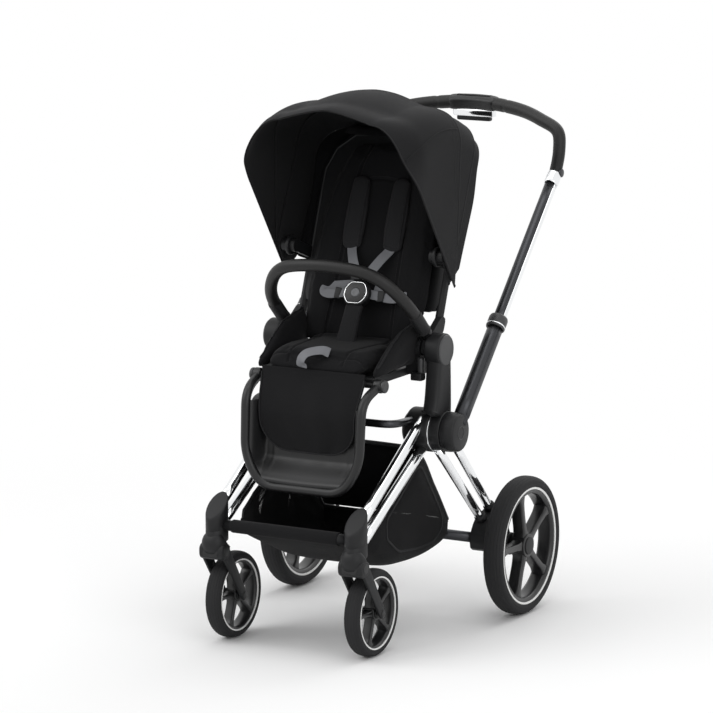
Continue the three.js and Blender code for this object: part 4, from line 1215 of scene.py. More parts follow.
@dataclass
class Casters:
    """The two swivelling forks and all four wheels."""

    x: float = 162.0
    pivot_y: float = -300.0
    trail: float = 64.0
    knuckle: tuple[float, float] = (-310.0, 198.0)
    rear_axle: tuple[float, float, float] = (269.5, 229.8, 147.0)

    def build(self) -> None:
        """Builds forks and wheels on both sides."""
        mirrored(self.fork)
        mirrored(self.wheels)

    def fork(self, side: int, word: str) -> None:
        """Collar, rounded knuckle, two flat arms, axle and its caps."""
        x, axle_y, (knuckle_y, knuckle_z) = side * self.x, self.pivot_y + self.trail, self.knuckle
        z = np.array([190, 197, 203, 208, 211, 212.6, 213.6, 214.2])
        scale = np.array([[22, 22], [24, 26], [25.5, 29.5], [26.5, 31.5], [26.8, 32], [26.2, 31.4], [24.5, 30],
                          [20, 26]], float)
        path = np.stack([np.full_like(z, x), np.linspace(knuckle_y + 2, self.pivot_y, len(z)), z], axis=-1)
        collar = sweep(path, oval(1, 1, 48, 2.4), (0, 1, 0), scale)
        body = block((x, knuckle_y, knuckle_z - 2), (28, 18, 17), 2.8, 5)
        arms = []
        outline = stadium((knuckle_y, knuckle_z), (axle_y, 90), 14.5, 10.5, 16)
        for edge in (-1, 1):
            arms.append(plate(outline, (x + edge * 24.6, 0, 0), (0, 1, 0), (0, 0, 1), 6.4, 2.4))
        pin = drum(4, -27, 27, 1, 1, axle_y, 90)
        pin.points[:, 0] += x
        dress(build(f"caster_{word}", collar, body, *arms, pin), PLASTIC, f"caster_{word}", (f"caster_fork_{word}",))
        panel = plate(rounded([(-17, -9), (17, -9), (17, 9), (-17, 9)], 4), (x, knuckle_y - 17.6, knuckle_z - 1),
                      (1, 0, 0), (0, 0.18, 1), 1.6, 0.6)
        dress(build(f"caster_panel_{word}", panel), SATIN_PLASTIC, f"caster_{word}")
        caps = []
        for edge in (-1, 1):
            for y, z_cap, r in ((axle_y, 90, 7.5), (knuckle_y, knuckle_z, 10)):
                cap = drum(r, 27, 28.9, 0.9, edge, y, z_cap)
                cap.points[:, 0] += x
                caps.append(cap)
        dress(build(f"caster_caps_{word}", *caps), SATIN_PLASTIC, f"caster_{word}")

    def wheels(self, side: int, word: str) -> None:
        """Front and rear wheel of one side."""
        x, y, z = self.rear_axle
        Wheel("front", word, f"front_wheel_{word}", (side * self.x, self.pivot_y + self.trail, 90.0), 90, 35, 19,
              73.5, 3.4).build()
        Wheel("rear", word, f"rear_wheel_{word}", (side * x, y, z), 147, 44, 27, 122.5, 5.0).build()
        cover = drum(24, 238.6, 246, 3, side, y, z)
        dress(build(f"axle_cover_{word}", cover), PLASTIC, "rear_frame")


def rounded(points: list, corner: float, count: int = 64) -> np.ndarray:
    """A closed outline of a plane with rounded corners."""
    p = np.array([(x, y, 0.0) for x, y in points])
    start = (p[0] + p[-1]) / 2
    return bent([start, *p, start], corner, count + 1)[:-1, :2]


# ------------------------------------------------------------------ push bar


def along_push(side: int, distance: float, x: float = 228.0) -> np.ndarray:
    """A point on the push tube's line, so far from the hub."""
    return np.array([side * x, distance * math.sin(PUSH_LEAN), HUB_Z + distance * math.cos(PUSH_LEAN)])


@dataclass
class PushBar:
    """Push tubes, clamp sleeves, leather handle, lever housing and their bright trims."""

    upper_end: float = 655.0
    grip_radius: float = 14.0
    grip_centre: tuple[float, float] = (527.0, 1043.0)
    axis: tuple[float, float, float] = field(default=(0.0, math.sin(PUSH_LEAN), math.cos(PUSH_LEAN)))

    def build(self) -> None:
        """Builds and dresses both sides and the handle."""
        mirrored(self.tubes)
        self.handle()

    def tubes(self, side: int, word: str) -> None:
        """Lower and upper tube with a strip each, bright on the upper tube and dark on the lower, the sleeve, the hub
        drum and the collar.
        """
        across = tuple(np.cross((1, 0, 0), self.axis))
        lower = tube(np.array([along_push(side, d) for d in (22, 80, 150, 220, 288)]), 16, across, 40)
        drum_patch = turned([(0, 211.7), (39, 211.7), (41, 213.5), (40.4, 224), (38.6, 238), (36.6, 240.6),
                             (34, 241.6), (0, 241.6)], (0, 0, HUB_Z), (side, 0, 0))
        dress(build(f"push_lower_{word}", lower, drum_patch), DARK_METAL, "push_bar", (f"push_tube_lower_{word}",))
        drum_cover = turned([(0, 212.2), (40, 212.2), (41.6, 214), (41, 225), (39.2, 238.4), (37.2, 241.2),
                             (34.6, 242.3), (0, 242.3)], (0, 0, HUB_Z), (side, 0, 0))
        dress(build(f"push_hub_cover_{word}", drum_cover), PLASTIC, "push_bar")
        ring = hoop((side * 242.4, 0, HUB_Z), (1, 0, 0), 13, 0.7)
        dress(build(f"push_hub_ring_{word}", ring), GREY_PLASTIC, "push_bar")
        for name, body, start, end, offset, half in (
                ("lower", "push_bar", 40, 262, 14.6, 7.5), ("upper", "telescope", 240, 648, 11.6, 6.0)):
            path = np.array([along_push(side, d, 228 + offset) for d in np.linspace(start, end, 12)])
            strip = sweep(path, oval(half, 1.9, 24, 3), (1, 0, 0))
            dress(build(f"push_strip_{name}_{word}", strip), CHROME if name == "upper" else DARK_METAL, body)
        upper = tube(np.array([along_push(side, d) for d in np.linspace(230, self.upper_end, 6)]), 12.6, across, 40)
        dress(build(f"push_upper_{word}", upper), DARK_METAL, "telescope", (f"push_tube_upper_{word}",))
        sleeve = turned([(16.2, 260), (19, 260), (20.4, 262.5), (20.4, 284), (19, 288), (16.4, 289.6), (13, 289.6),
                         (13, 287), (16.2, 280)], (side * 228, 0, HUB_Z), self.axis)
        dress(build(f"sleeve_{word}", sleeve), GREY_PLASTIC, "push_bar", (f"clamp_sleeve_{word}",))
        bright = turned([(19.4, 264), (21, 264.6), (21, 266.4), (19.4, 267)], (side * 228, 0, HUB_Z), self.axis)
        dress(build(f"sleeve_ring_{word}", bright), CHROME, "push_bar")
        collar = turned([(12.8, 636), (15, 636), (15.8, 638), (15.8, 662), (15, 664.5), (12.8, 664.5)],
                        (side * 228, 0, HUB_Z), self.axis)
        dress(build(f"grip_collar_{word}", collar), CHROME, "telescope")
        stud = drum(9.5, 239.5, 245, 2, side, *along_push(side, 668)[1:])
        dress(build(f"grip_stud_{word}", stud), DARK_METAL, "telescope")

    def grip_path(self) -> np.ndarray:
        """The handle's centreline from one tube to the other."""
        half = [(235, 464, 957), (228, 471, 996), (182, 484, 1018), (120, 505, 1034)]
        ends = {side: [along_push(side, 655.3), along_push(side, 667), *(np.array(p) * [side, 1, 1] for p in half)]
                for side in (-1, 1)}
        middle = np.array([0, *self.grip_centre])
        return flowing([*ends[-1], middle, *ends[1][::-1]], 220)

    def handle(self) -> None:
        """Leather grip with a sewn seam, its centre cover, lever housing and lever."""
        path = self.grip_path()
        share = np.linspace(-1, 1, len(path))
        scale = 1 + 0.05 * np.cos(share * np.pi) - 0.10 * np.exp(-((np.abs(share) - 0.245) / 0.008) ** 2)
        grip = build("grip", tube(path, self.grip_radius, (0, -0.35, 1), 40, scale))
        sew(grip, lambda p: np.abs(p[:, 1] - np.interp(p[:, 0], path[:, 0], path[:, 1]) - 5)
            + 60 * (p[:, 2] > np.interp(p[:, 0], path[:, 0], path[:, 2])), 0.9, 1.3)
        dress(grip, LEATHER, "telescope", ("handlebar",))
        middle = path[np.abs(path[:, 0]) < 205]
        rows = []
        for offset in ((0, 9, -11), (0, 2, -13)):
            line, normal = snap(middle + np.array(offset), grip, 0.2)
            rows.append(stitches(line, normal, 5.2, 3.6, 0.45))
        dress(build("grip_stitches", *rows), THREAD, "telescope")
        y, z = self.grip_centre
        centre = path[np.abs(path[:, 0]) < 58]
        cover = sweep(centre, oval(15.6, 15.0, 44, 3.4), (0, -0.35, 1),
                      1 - 0.2 * np.abs(np.linspace(-1, 1, len(centre))) ** 14)
        dress(build("grip_centre_cover", cover), SATIN_PLASTIC, "telescope")
        ribs = [sweep(straight((-40, y + d, z + 15.2 - 0.02 * d * d), (40, y + d, z + 15.2 - 0.02 * d * d), 6),
                      oval(0.9, 0.7, 8), (0, 0, 1)) for d in (-6, -3, 0, 3, 6)]
        dress(build("grip_centre_ribs", *ribs), LEATHER, "telescope")
        housing = block((0, y, z - 23), (49, 9.8, 9), 4.5, 5)
        dress(build("lever_housing", housing), CHROME, "telescope")
        lever = block((0, y, z - 34.5), (40, 7.2, 6.4), 4.0, 4)
        dress(build("lever_bar", lever), PLASTIC, "lever", ("adjuster_lever",))


# ------------------------------------------------------------------ seat


def ramp(values: np.ndarray, start: float, end: float) -> np.ndarray:
    """Rises smoothly from 0 at start to 1 at end."""
    t = np.clip((values - start) / (end - start), 0, 1)
    return t * t * (3 - 2 * t)


def seated(piece: bpy.types.Object, fill: float) -> bpy.types.Object:
    """Declares a padded piece."""
    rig.padded(piece, fill)
    return piece


@dataclass
class Seat:
    """Cushion, hip wings, back pad and back cover."""

    cushion_half: float = 122.0
    cushion_ends: tuple[float, float] = (-191.0, 18.0)
    cushion_level: float = 577.0
    back_ends: tuple[float, float] = (-16.0, 433.0)
    back_seam: tuple = ((26, 76), (120, 70), (300, 66), (372, 58), (412, 44))

    def build(self) -> None:
        """Shapes the pads, stuffs them in one run, then sews and dresses them."""
        cushion, back = self.cushion(), self.back_pad()
        wings = {word: self.hip_wing(side, word) for side, word in SIDES}
        inflate({cushion: 1.0, back: 0.9, **{wing: 0.6 for wing in wings.values()}})
        self.sew_cushion(cushion)
        self.sew_back(back)
        dress(seated(cushion, 0.7), SEAT_CLOTH, "front_frame", ("seat_cushion",))
        dress(seated(back, 0.6), SEAT_CLOTH, "backrest", ("back_cushion",))
        for side, word in SIDES:
            dress(seated(wings[word], 0.5), SEAT_CLOTH, "front_frame", (f"hip_wing_{word}",))
            y = np.linspace(-168, 18, 80)
            edge = np.stack([np.full_like(y, side * 139), y, self.wing_top(y) + 0.5], axis=-1)
            line, _ = snap(edge, wings[word], 0.6)
            dress(build(f"hip_piping_{word}", sweep(line, oval(1.9, 1.9, 10), (side, 0, 0.3))), PIPING, "front_frame")
        self.back_cover()

    def cushion(self) -> bpy.types.Object:
        """A full cushion whose front lip rolls down."""
        def place(across: np.ndarray, along: np.ndarray, out: np.ndarray) -> np.ndarray:
            """Carries the flat pillow to its place: (across, along, out) to a point."""
            lip = ramp(-along, 146, 192)
            rise = 3.5 * ramp(np.abs(across), 70, 120) + 20 * ramp(along, -25, 18) ** 1.5
            return np.stack([across, along, self.cushion_level + out - 9 * lip + rise], axis=-1)

        return build("seat_pad", pillow(lambda share: self.cushion_half + 0 * share, *self.cushion_ends, 21, 20,
                                        place, corner=0.22, power=5))

    @staticmethod
    def wing_top(y: np.ndarray) -> np.ndarray:
        """Height of a hip wing's upper edge, rising to the back."""
        return np.interp(y, [-180, -157, -126, -95, -66, -23, 30], [574, 584, 608, 628, 642, 652, 664])

    def hip_wing(self, side: int, word: str) -> bpy.types.Object:
        """The upright bolster beside the cushion."""
        low, ends = 556.0, (-180.0, 30.0)

        def half(share: np.ndarray) -> np.ndarray:
            """Half the width at a share of the length."""
            return (self.wing_top(ends[0] + share * (ends[1] - ends[0])) - low) / 2

        def place(across: np.ndarray, along: np.ndarray, out: np.ndarray) -> np.ndarray:
            """Carries the flat pillow to its place: (across, along, out) to a point."""
            spread = 6 * ramp(across, 0, 45)
            return np.stack([side * (134 + out + spread), along, (self.wing_top(along) + low) / 2 + across], axis=-1)

        return build(f"hip_bolster_{word}", pillow(half, *ends, 9, 9, place, corner=0.3, power=4, rows=40))

    def back_pad(self) -> bpy.types.Object:
        """The long pad, fuller along both sides, that narrows to the headrest."""
        def half(share: np.ndarray) -> np.ndarray:
            """Half the width at a share of the length."""
            return np.interp(share, [0, 0.1, 0.25, 0.6, 0.8, 0.92, 1], [141, 145, 149, 144, 128, 106, 86])

        def place(across: np.ndarray, along: np.ndarray, out: np.ndarray) -> np.ndarray:
            """Carries the flat pillow to its place: (across, along, out) to a point."""
            bolster = 7.5 * ramp(np.abs(across), 60, 92)
            head = 3 * ramp(along, 335, 360) * (1 - ramp(np.abs(across), 40, 62))
            return leaned(across, 15 - out - bolster - head, along)

        return build("back_pad", pillow(half, *self.back_ends, 12, 11, place, corner=0.14, power=6, rows=80))

    def seam_x(self, height: np.ndarray) -> np.ndarray:
        """How far the long back seams lie from the middle at a height."""
        heights, across = zip(*self.back_seam)
        return np.interp(height, heights, across)

    def sew_back(self, back: bpy.types.Object) -> None:
        """Two long seams and the arc under the headrest, each with a row of stitches."""
        def distance(points: np.ndarray) -> np.ndarray:
            """Distance of points from the nearest seam."""
            x, y, z = unleaned(points).T
            seam = self.seam_x(z)
            arc = np.abs(z - 330 - 16 * (1 - (x / 66) ** 2)) + 60 * (np.abs(x) > seam)
            return np.minimum(np.abs(np.abs(x) - seam), arc) + 60 * (y > 14)

        sew(back, distance, 3.4, 2.6)
        height = np.linspace(40, 408, 120)
        rows = []
        for side, _ in SIDES:
            for beside in (-4.0, 4.0):
                rows.append(stitch_row(leaned(side * (self.seam_x(height) + beside), -9, height), back, 0.15, 4.6,
                                       3.2, 0.38))
        across = np.linspace(-60, 60, 60)
        rows.append(stitch_row(leaned(across, -9, 334.5 + 16 * (1 - (across / 66) ** 2)), back, 0.15, 4.6, 3.2, 0.38))
        dress(build("back_stitches", *rows), THREAD, "backrest")

    def sew_cushion(self, cushion: bpy.types.Object) -> None:
        """Two lengthwise seams and one along the front lip, with stitches."""
        def across_at(y: np.ndarray) -> np.ndarray:
            """How far a lengthwise seam lies from the middle."""
            return np.interp(y, [-190, -100, -6], [62, 70, 80])

        def distance(points: np.ndarray) -> np.ndarray:
            """Distance of points from the nearest seam."""
            x, y, z = points.T
            lengthwise = np.abs(np.abs(x) - across_at(y))
            return np.minimum(lengthwise, np.abs(y + 168)) + 60 * (z < self.cushion_level)

        sew(cushion, distance, 3.2, 2.6)
        y = np.linspace(-176, -20, 70)
        rows = []
        for side, _ in SIDES:
            rows.append(stitch_row(np.stack([side * (across_at(y) + 4), y, np.full_like(y, 600)], -1), cushion,
                                   0.15, 4.6, 3.2, 0.38))
        dress(build("cushion_stitches", *rows), THREAD, "front_frame")

    def back_cover(self) -> None:
        """The cloth that closes the back and rolls forward over the top of its frame."""
        track = flowing([(0, 47, 84), (0, 48.5, 250), (0, 48, 420), (0, 47, 446), (0, 41, 459.5), (0, 32, 460.5),
                         (0, 24, 455), (0, 21, 442)], 90)
        half = np.interp(track[:, 2], [84, 120, 380, 420, 460], [150, 157, 157, 136, 110])[:, None]
        share = np.linspace(-1, 1, 60)[None]
        curl = 9 * np.abs(share) ** 9 - 3 * (1 - share ** 2) * ramp(track[:, 2], 100, 250)[:, None]
        grid = leaned(half * share, track[:, 1:2] - curl, track[:, 2:3] + 0 * share)
        cover = soften(build("back_cover", shell(grid, 1.8)))
        width, length = arc_lengths(grid, 1, False)[-1], arc_lengths(grid, 0, False)[-1]
        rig.sheet(cover, (width, length), "stretched", ["backrest_frame"])
        dress(cover, APRON_CLOTH, "backrest")


@dataclass
class Harness:
    """Crotch pad, buckle and button, waist loops, shoulder straps and their pads."""

    base: tuple[float, float, float] = (0.0, -52.0, 600.3)
    lean: float = math.radians(28.9)
    pad_x: float = 48.0
    pad_ends: tuple[float, float] = (190.0, 350.0)

    def on_strap(self, across: float, along: float, out: float) -> np.ndarray:
        """A point in the buckle's leaning plane: out is towards the child's feet."""
        s, c = math.sin(self.lean), math.cos(self.lean)
        return np.array(self.base) + np.array([across, along * s - out * c, along * c + out * s])

    def build(self) -> None:
        """Builds and dresses every piece of the harness."""
        self.crotch()
        self.buckle()
        pads = {word: self.shoulder_pad(side, word) for side, word in SIDES}
        inflate({pad: 0.5 for pad in pads.values()}, voxel=3.0, cap=4.0)
        for side, word in SIDES:
            self.sew_pad(pads[word], side, word)
            self.straps(side, word)
        loop = flowing([(-23, -190, 570), (-22, -199, 586), (-14, -194, 599), (2, -181, 604.5), (16, -172, 605),
                        (27, -166, 600)], 50)
        dress(build("seat_loop", sweep(loop, oval(11, 1.0, 20, 5), (0, -1, 1))), WEBBING, "front_frame")

    def crotch(self) -> None:
        """The padded sleeve from the seat to the buckle, with a rounded foot."""
        path = np.array([self.on_strap(0, along, 2 * math.sin(along / 28)) for along in np.linspace(-3, 84, 30)])
        share = np.linspace(0, 1, 30)
        scale = np.stack([1 + 0.16 * (1 - share) ** 2 - 0.05 * np.sin(share * np.pi), 1 - 0.15 * share], -1)
        s, c = math.sin(self.lean), math.cos(self.lean)
        pad = soften(build("crotch_sleeve", sweep(path, oval(20, 6.5, 32, 3), (0, -c, s), scale)))
        dress(seated(pad, 0.5), PAD_CLOTH, "front_frame", ("crotch_pad",))
        rows = []
        for side, _ in SIDES:
            line = np.array([self.on_strap(side * 15.5, along, 9) for along in np.linspace(4, 80, 30)])
            rows.append(stitch_row(line, pad, 0.1, 4.0, 2.8, 0.35))
        dress(build("crotch_stitches", *rows), THREAD, "front_frame")

    def buckle(self) -> None:
        """The six-sided buckle with a bright ring, dark face, round button and two tongues."""
        s, c = math.sin(self.lean), math.cos(self.lean)
        middle = self.on_strap(0, 108.0, 0)
        up, face = (0, s, c), (0, -c, s)
        shape = rounded([(-17, -27), (17, -27), (30, -9), (30, 9), (18, 27), (-18, 27), (-30, 9), (-30, -9)], 9)
        body = plate(shape, tuple(middle), (1, 0, 0), up, 20, 5)
        dress(build("buckle_body", body), PLASTIC, "front_frame", ("buckle_housing",))
        front = middle + np.array(face) * 10.1
        ring = np.array([front + np.array([x * 0.84, y * s * 0.84, y * c * 0.84]) for x, y in shape])
        dress(build("buckle_bright_ring", tube(ring, 1.1, face, 10, closed=True)), CHROME, "front_frame")
        inset = plate(shape * 0.78, tuple(front), (1, 0, 0), up, 1.6, 0.7)
        dress(build("buckle_face", inset), SATIN_PLASTIC, "front_frame")
        press = turned([(0, -4), (10.6, -4), (10.8, 0.2), (10.2, 1.5), (8.6, 1.9), (4, 1.3), (0, 1.2)], tuple(front),
                       face)
        dress(build("buckle_press", press), BUTTON_METAL, "button", ("buckle_button",))
        tongues = [plate(rounded([(-11, -6), (11, -6), (8, 8), (-8, 8)], 3), tuple(self.on_strap(side * 14, 145, 0)),
                         (1, 0, 0), up, 4, 1.4) for side in (-1, 1)]
        dress(build("buckle_tongues", *tongues), PLASTIC, "front_frame")

    def shoulder_pad(self, side: int, word: str) -> bpy.types.Object:
        """A slim pad with a round top; its lower end is square and open like a sleeve."""
        def half(share: np.ndarray) -> np.ndarray:
            """Half the width at a share of the length."""
            return 26.5 - 3.5 * share

        def place(across: np.ndarray, along: np.ndarray, out: np.ndarray) -> np.ndarray:
            """Carries the flat pillow to its place: (across, along, out) to a point."""
            return leaned(side * self.pad_x + across, -8 - out, along)

        return build(f"shoulder_sleeve_{word}", pillow(half, *self.pad_ends, 8.5, 6, place, corner=0.45, power=4,
                                                       rows=50))

    def sew_pad(self, pad: bpy.types.Object, side: int, word: str) -> None:
        """A seam all round the shoulder pad, a hem at its foot, and stitches."""
        low, high = self.pad_ends

        def distance(points: np.ndarray) -> np.ndarray:
            """Distance of points from the nearest seam."""
            x, y, z = unleaned(points).T
            rim = np.abs(np.abs(x - side * self.pad_x) - 20.5)
            return np.minimum(rim, np.abs(z - low - 12)) + 60 * (y > -8)

        sew(pad, distance, 1.3, 1.6)
        dress(seated(pad, 0.5), PAD_CLOTH, "backrest", (f"shoulder_pad_{word}",))
        rows = []
        for beside in (-1, 1):
            height = np.linspace(low + 8, high - 12, 60)
            rows.append(stitch_row(leaned(side * self.pad_x + beside * 18.4, -18, height), pad, 0.1, 3.8, 2.7, 0.32))
        dress(build(f"shoulder_stitches_{word}", *rows), THREAD, "backrest")

    def straps(self, side: int, word: str) -> None:
        """Shoulder strap, its upper end into the back pad, and the waist loop."""
        foot = leaned(side * self.pad_x, -8, 214)
        top = self.on_strap(side * 14, 146, 0)
        lower = flowing([top, self.on_strap(side * 19, 160, 1), (top + foot) / 2 + [side * 2, -3, 0],
                         leaned(side * (self.pad_x - 2), -8.5, 199), foot], 50)
        strap = sweep(lower, oval(11, 1.0, 20, 5), (0, -1, 0.35))
        dress(build(f"shoulder_strap_{word}", strap), WEBBING,
              ("front_frame", "backrest", tuple(top), tuple(foot)), (f"harness_webbing_{word}",))
        upper = flowing([leaned(side * 48, -9, 318), leaned(side * 48, -7, 330), leaned(side * 48, 0, 340),
                         leaned(side * 48, 9, 346)], 24)
        dress(build(f"shoulder_strap_top_{word}", sweep(upper, oval(11, 1.0, 20, 5), (0, -1, 0.35))), WEBBING,
              "backrest")
        x, y, z = self.on_strap(side * 20, 112, -3)
        loop = flowing([(x, y, z), (side * 46, y + 3, z - 4), (side * 74, y + 7, z - 8), (side * 89, y + 13, z - 5),
                        (side * 92, y + 20, z), (side * 86, y + 25, z + 4), (side * 62, y + 27, z + 8),
                        (side * 26, y + 24, z + 13)], 110)
        dress(build(f"waist_strap_{word}", sweep(loop, oval(10, 1.0, 20, 5), (0, -1, 0.6))), WEBBING, "front_frame")
        slider = plate(rounded([(-8, -12), (8, -12), (8, 12), (-8, 12)], 3), (side * 50, y + 3.5, z - 4.5),
                       (1, 0, 0.1 * side), (0, 0.45, 0.9), 5, 1.6)
        dress(build(f"waist_slider_{word}", slider), PLASTIC, "front_frame")


# ------------------------------------------------------------------ bumper bar


@dataclass
class Bumper:
    """Two sockets and the leather-covered bar."""

    x: float = 165.0
    top: tuple[float, float] = (-20.0, 637.0)
    tilt: float = math.radians(47)
    radius: float = 13.0

    def along(self, side: int, distance: float) -> np.ndarray:
        """A point on a socket's axis, so far above its mouth."""
        y, z = self.top
        return np.array([side * self.x, y - distance * math.sin(self.tilt), z + distance * math.cos(self.tilt)])

    def build(self) -> None:
        """Builds and dresses the sockets and the bar."""
        axis = (0, -math.sin(self.tilt), math.cos(self.tilt))
        for side, word in SIDES:
            socket = turned([(0, -15), (12.4, -15), (14, -12), (14, -3), (15.2, -2), (15.2, -0.4), (14.6, 0.2),
                             (0, 0.2)], tuple(self.along(side, 0)), axis)
            dress(build(f"socket_{word}", socket), PLASTIC, "front_frame", (f"bumper_socket_{word}",))
            key = block(tuple(self.along(side, -7) + [side * 13, 0, 0]), (2.6, 4, 4), 3, 1.6, along=2)
            dress(build(f"socket_key_{word}", key), GREY_PLASTIC, "front_frame")
        y, z = -147.0, 777.0
        ends = {side: [self.along(side, 0.5), self.along(side, 86.8), np.array([side * 115.5, y + 13, z - 13])]
                for side in (-1, 1)}
        path = bent([*ends[-1], (0, y, z), *ends[1][::-1]], 46, 240)
        path = np.stack([np.convolve(np.pad(path[:, k], 9, "edge"), np.ones(19) / 19, "valid") for k in range(3)], -1)
        path[0], path[-1] = self.along(-1, 0.5), self.along(1, 0.5)
        bar = build("bumper_grip", tube(path, self.radius, (0, -1, 0.2), 40))
        seam = lambda p: np.abs(p[:, 1] - np.interp(p[:, 0], path[:, 0], path[:, 1]) - 4) + 60 * (
            (p[:, 2] > np.interp(p[:, 0], path[:, 0], path[:, 2])) | (np.abs(p[:, 0]) > 135))
        sew(bar, seam, 0.9, 1.2)
        dress(bar, LEATHER, "bumper", ("bumper_bar",))
        middle = path[np.abs(path[:, 0]) < 128]
        line, face = snap(middle + np.array([0, -3, -12]), bar, 0.15)
        dress(build("bumper_stitches", stitches(line, face, 5.0, 3.5, 0.42)), THREAD, "bumper")
        for side, word in SIDES:
            run = np.linspace(1, 54, 80)
            ripple = 1 + 0.035 * np.sin(run * 2 * np.pi / 5.2) - 0.05 * ramp(run, 50, 54)
            sleeve = tube(np.array([self.along(side, d) for d in run]), self.radius + 0.9, (0, -1, 0.2), 36, ripple)
            dress(build(f"bumper_sleeve_{word}", sleeve), PLASTIC, "bumper")


# ------------------------------------------------------------------ legrest


@dataclass
class Legrest:
    """U-shaped frame, hinge caps, dished tray and the cloth apron over it."""

    hinge: tuple[float, float] = (-165.0, 541.0)
    half: float = 140.0
    reach: float = 70.0
    foot: float = 326.0
    apron_foot: float = 397.0

    def build(self) -> None:
        """Builds and dresses all pieces."""
        self.frame_tube()
        self.tray()
        self.apron()

    def frame_tube(self) -> None:
        """The bent tube with its two eyes and grey hinge caps."""
        y, z = self.hinge
        run = {side: [(side * self.half, y, z), (side * (self.half - 5), y - self.reach + 8, z - 24),
                      (side * (self.half - 7), y - self.reach, self.foot + 60),
                      (side * (self.half - 45), y - self.reach - 3, self.foot)] for side in (-1, 1)}
        path = bent([*run[-1], *run[1][::-1]], 44, 220)
        eyes = [drum(14, 131.5, 149.4, 3, side, y, z) for side in (-1, 1)]
        dress(build("legrest_tube", tube(path, 9.6, (0, -1, 0.001), 32), *eyes), SATIN_PLASTIC, "legrest",
              ("legrest_frame",))
        for side, word in SIDES:
            cap = drum(13, 149, 157.5, 3, side, y, z)
            dress(build(f"legrest_cap_{word}", cap), GREY_PLASTIC, "front_frame")

    def tray(self) -> None:
        """A moulded panel, dished backwards, with a raised lip and two moulded ribs."""
        s, t = np.meshgrid(np.linspace(-1, 1, 70), np.linspace(-1, 1, 70), indexing="ij")
        height = (333 + 503) / 2 + t * np.sqrt(1 - 0.18 * s ** 2 / 2) * 85
        half = np.interp(height, [333, 350, 368, 505], [94, 112, 125, 125.5])
        across = s * half
        plane = self.hinge[0] - self.reach + 10 - (self.hinge[1] - height) * 10 / 155
        dish = 40 * (1 - ramp(np.abs(s), 0.84, 0.995)) * (1 - ramp(-t, 0.4, 0.97))
        ribs = 1.2 * np.exp(-((np.abs(across) - 84) / 3.0) ** 2) * ramp(1 - np.abs(t), 0.2, 0.4)
        lip = 3 * np.exp(-((t + 0.93) / 0.06) ** 2)
        grid = np.stack([across, plane + dish - ribs - lip, height], axis=-1)
        dress(soften(build("legrest_panel", shell(grid, 4.0))), SATIN_PLASTIC, "legrest", ("legrest_tray",))

    def apron(self) -> None:
        """The hanging cloth: round lower corners, soft vertical waves and a bound edge."""
        height = np.linspace(566, self.apron_foot, 80)[:, None]
        share = np.linspace(-1, 1, 90)[None]
        left = np.clip(height - self.apron_foot, 0, 62)
        half = np.interp(height, [397, 480, 566], [107, 110, 121]) - (62 - np.sqrt(62 ** 2 - (62 - left) ** 2))
        hang = ramp(566 - height, 0, 60)
        wave = hang * (1.3 * np.sin(share * 5.2 + 0.6) + 0.8 * np.sin(share * 11 + height / 40))
        y = -186 - 27 * ramp(566 - height, 0, 95) + 9 * ramp(480 - height, 0, 90) - wave
        grid = np.stack(np.broadcast_arrays(half * share, y, height), axis=-1)
        cloth = soften(build("apron", shell(grid, 1.6)))
        length, width = arc_lengths(grid, 0, False)[-1], 2 * 0.124
        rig.sheet(cloth, (width, length), "hung", ["seat_base"])
        ends = ((0, -188, 560), (0, -188, 535))
        dress(cloth, APRON_CLOTH, ("front_frame", "legrest", *ends))
        rim = resample(np.vstack([grid[6:, 0], grid[-1, 1:-1], grid[6:, -1][::-1]]), 260)
        binding = sweep(rim, oval(1.7, 3.4, 16, 3), (0, -1, 0.001))
        piece = build("apron_binding", binding)
        dress(piece, PIPING, ("front_frame", "legrest", *ends))


# ------------------------------------------------------------------ canopy


@dataclass(frozen=True)
class Panel:
    """One canopy panel; its edges are (degrees behind upright, distance from the axis)."""

    name: str
    node: str
    body: str
    step: int
    front: tuple
    back: tuple


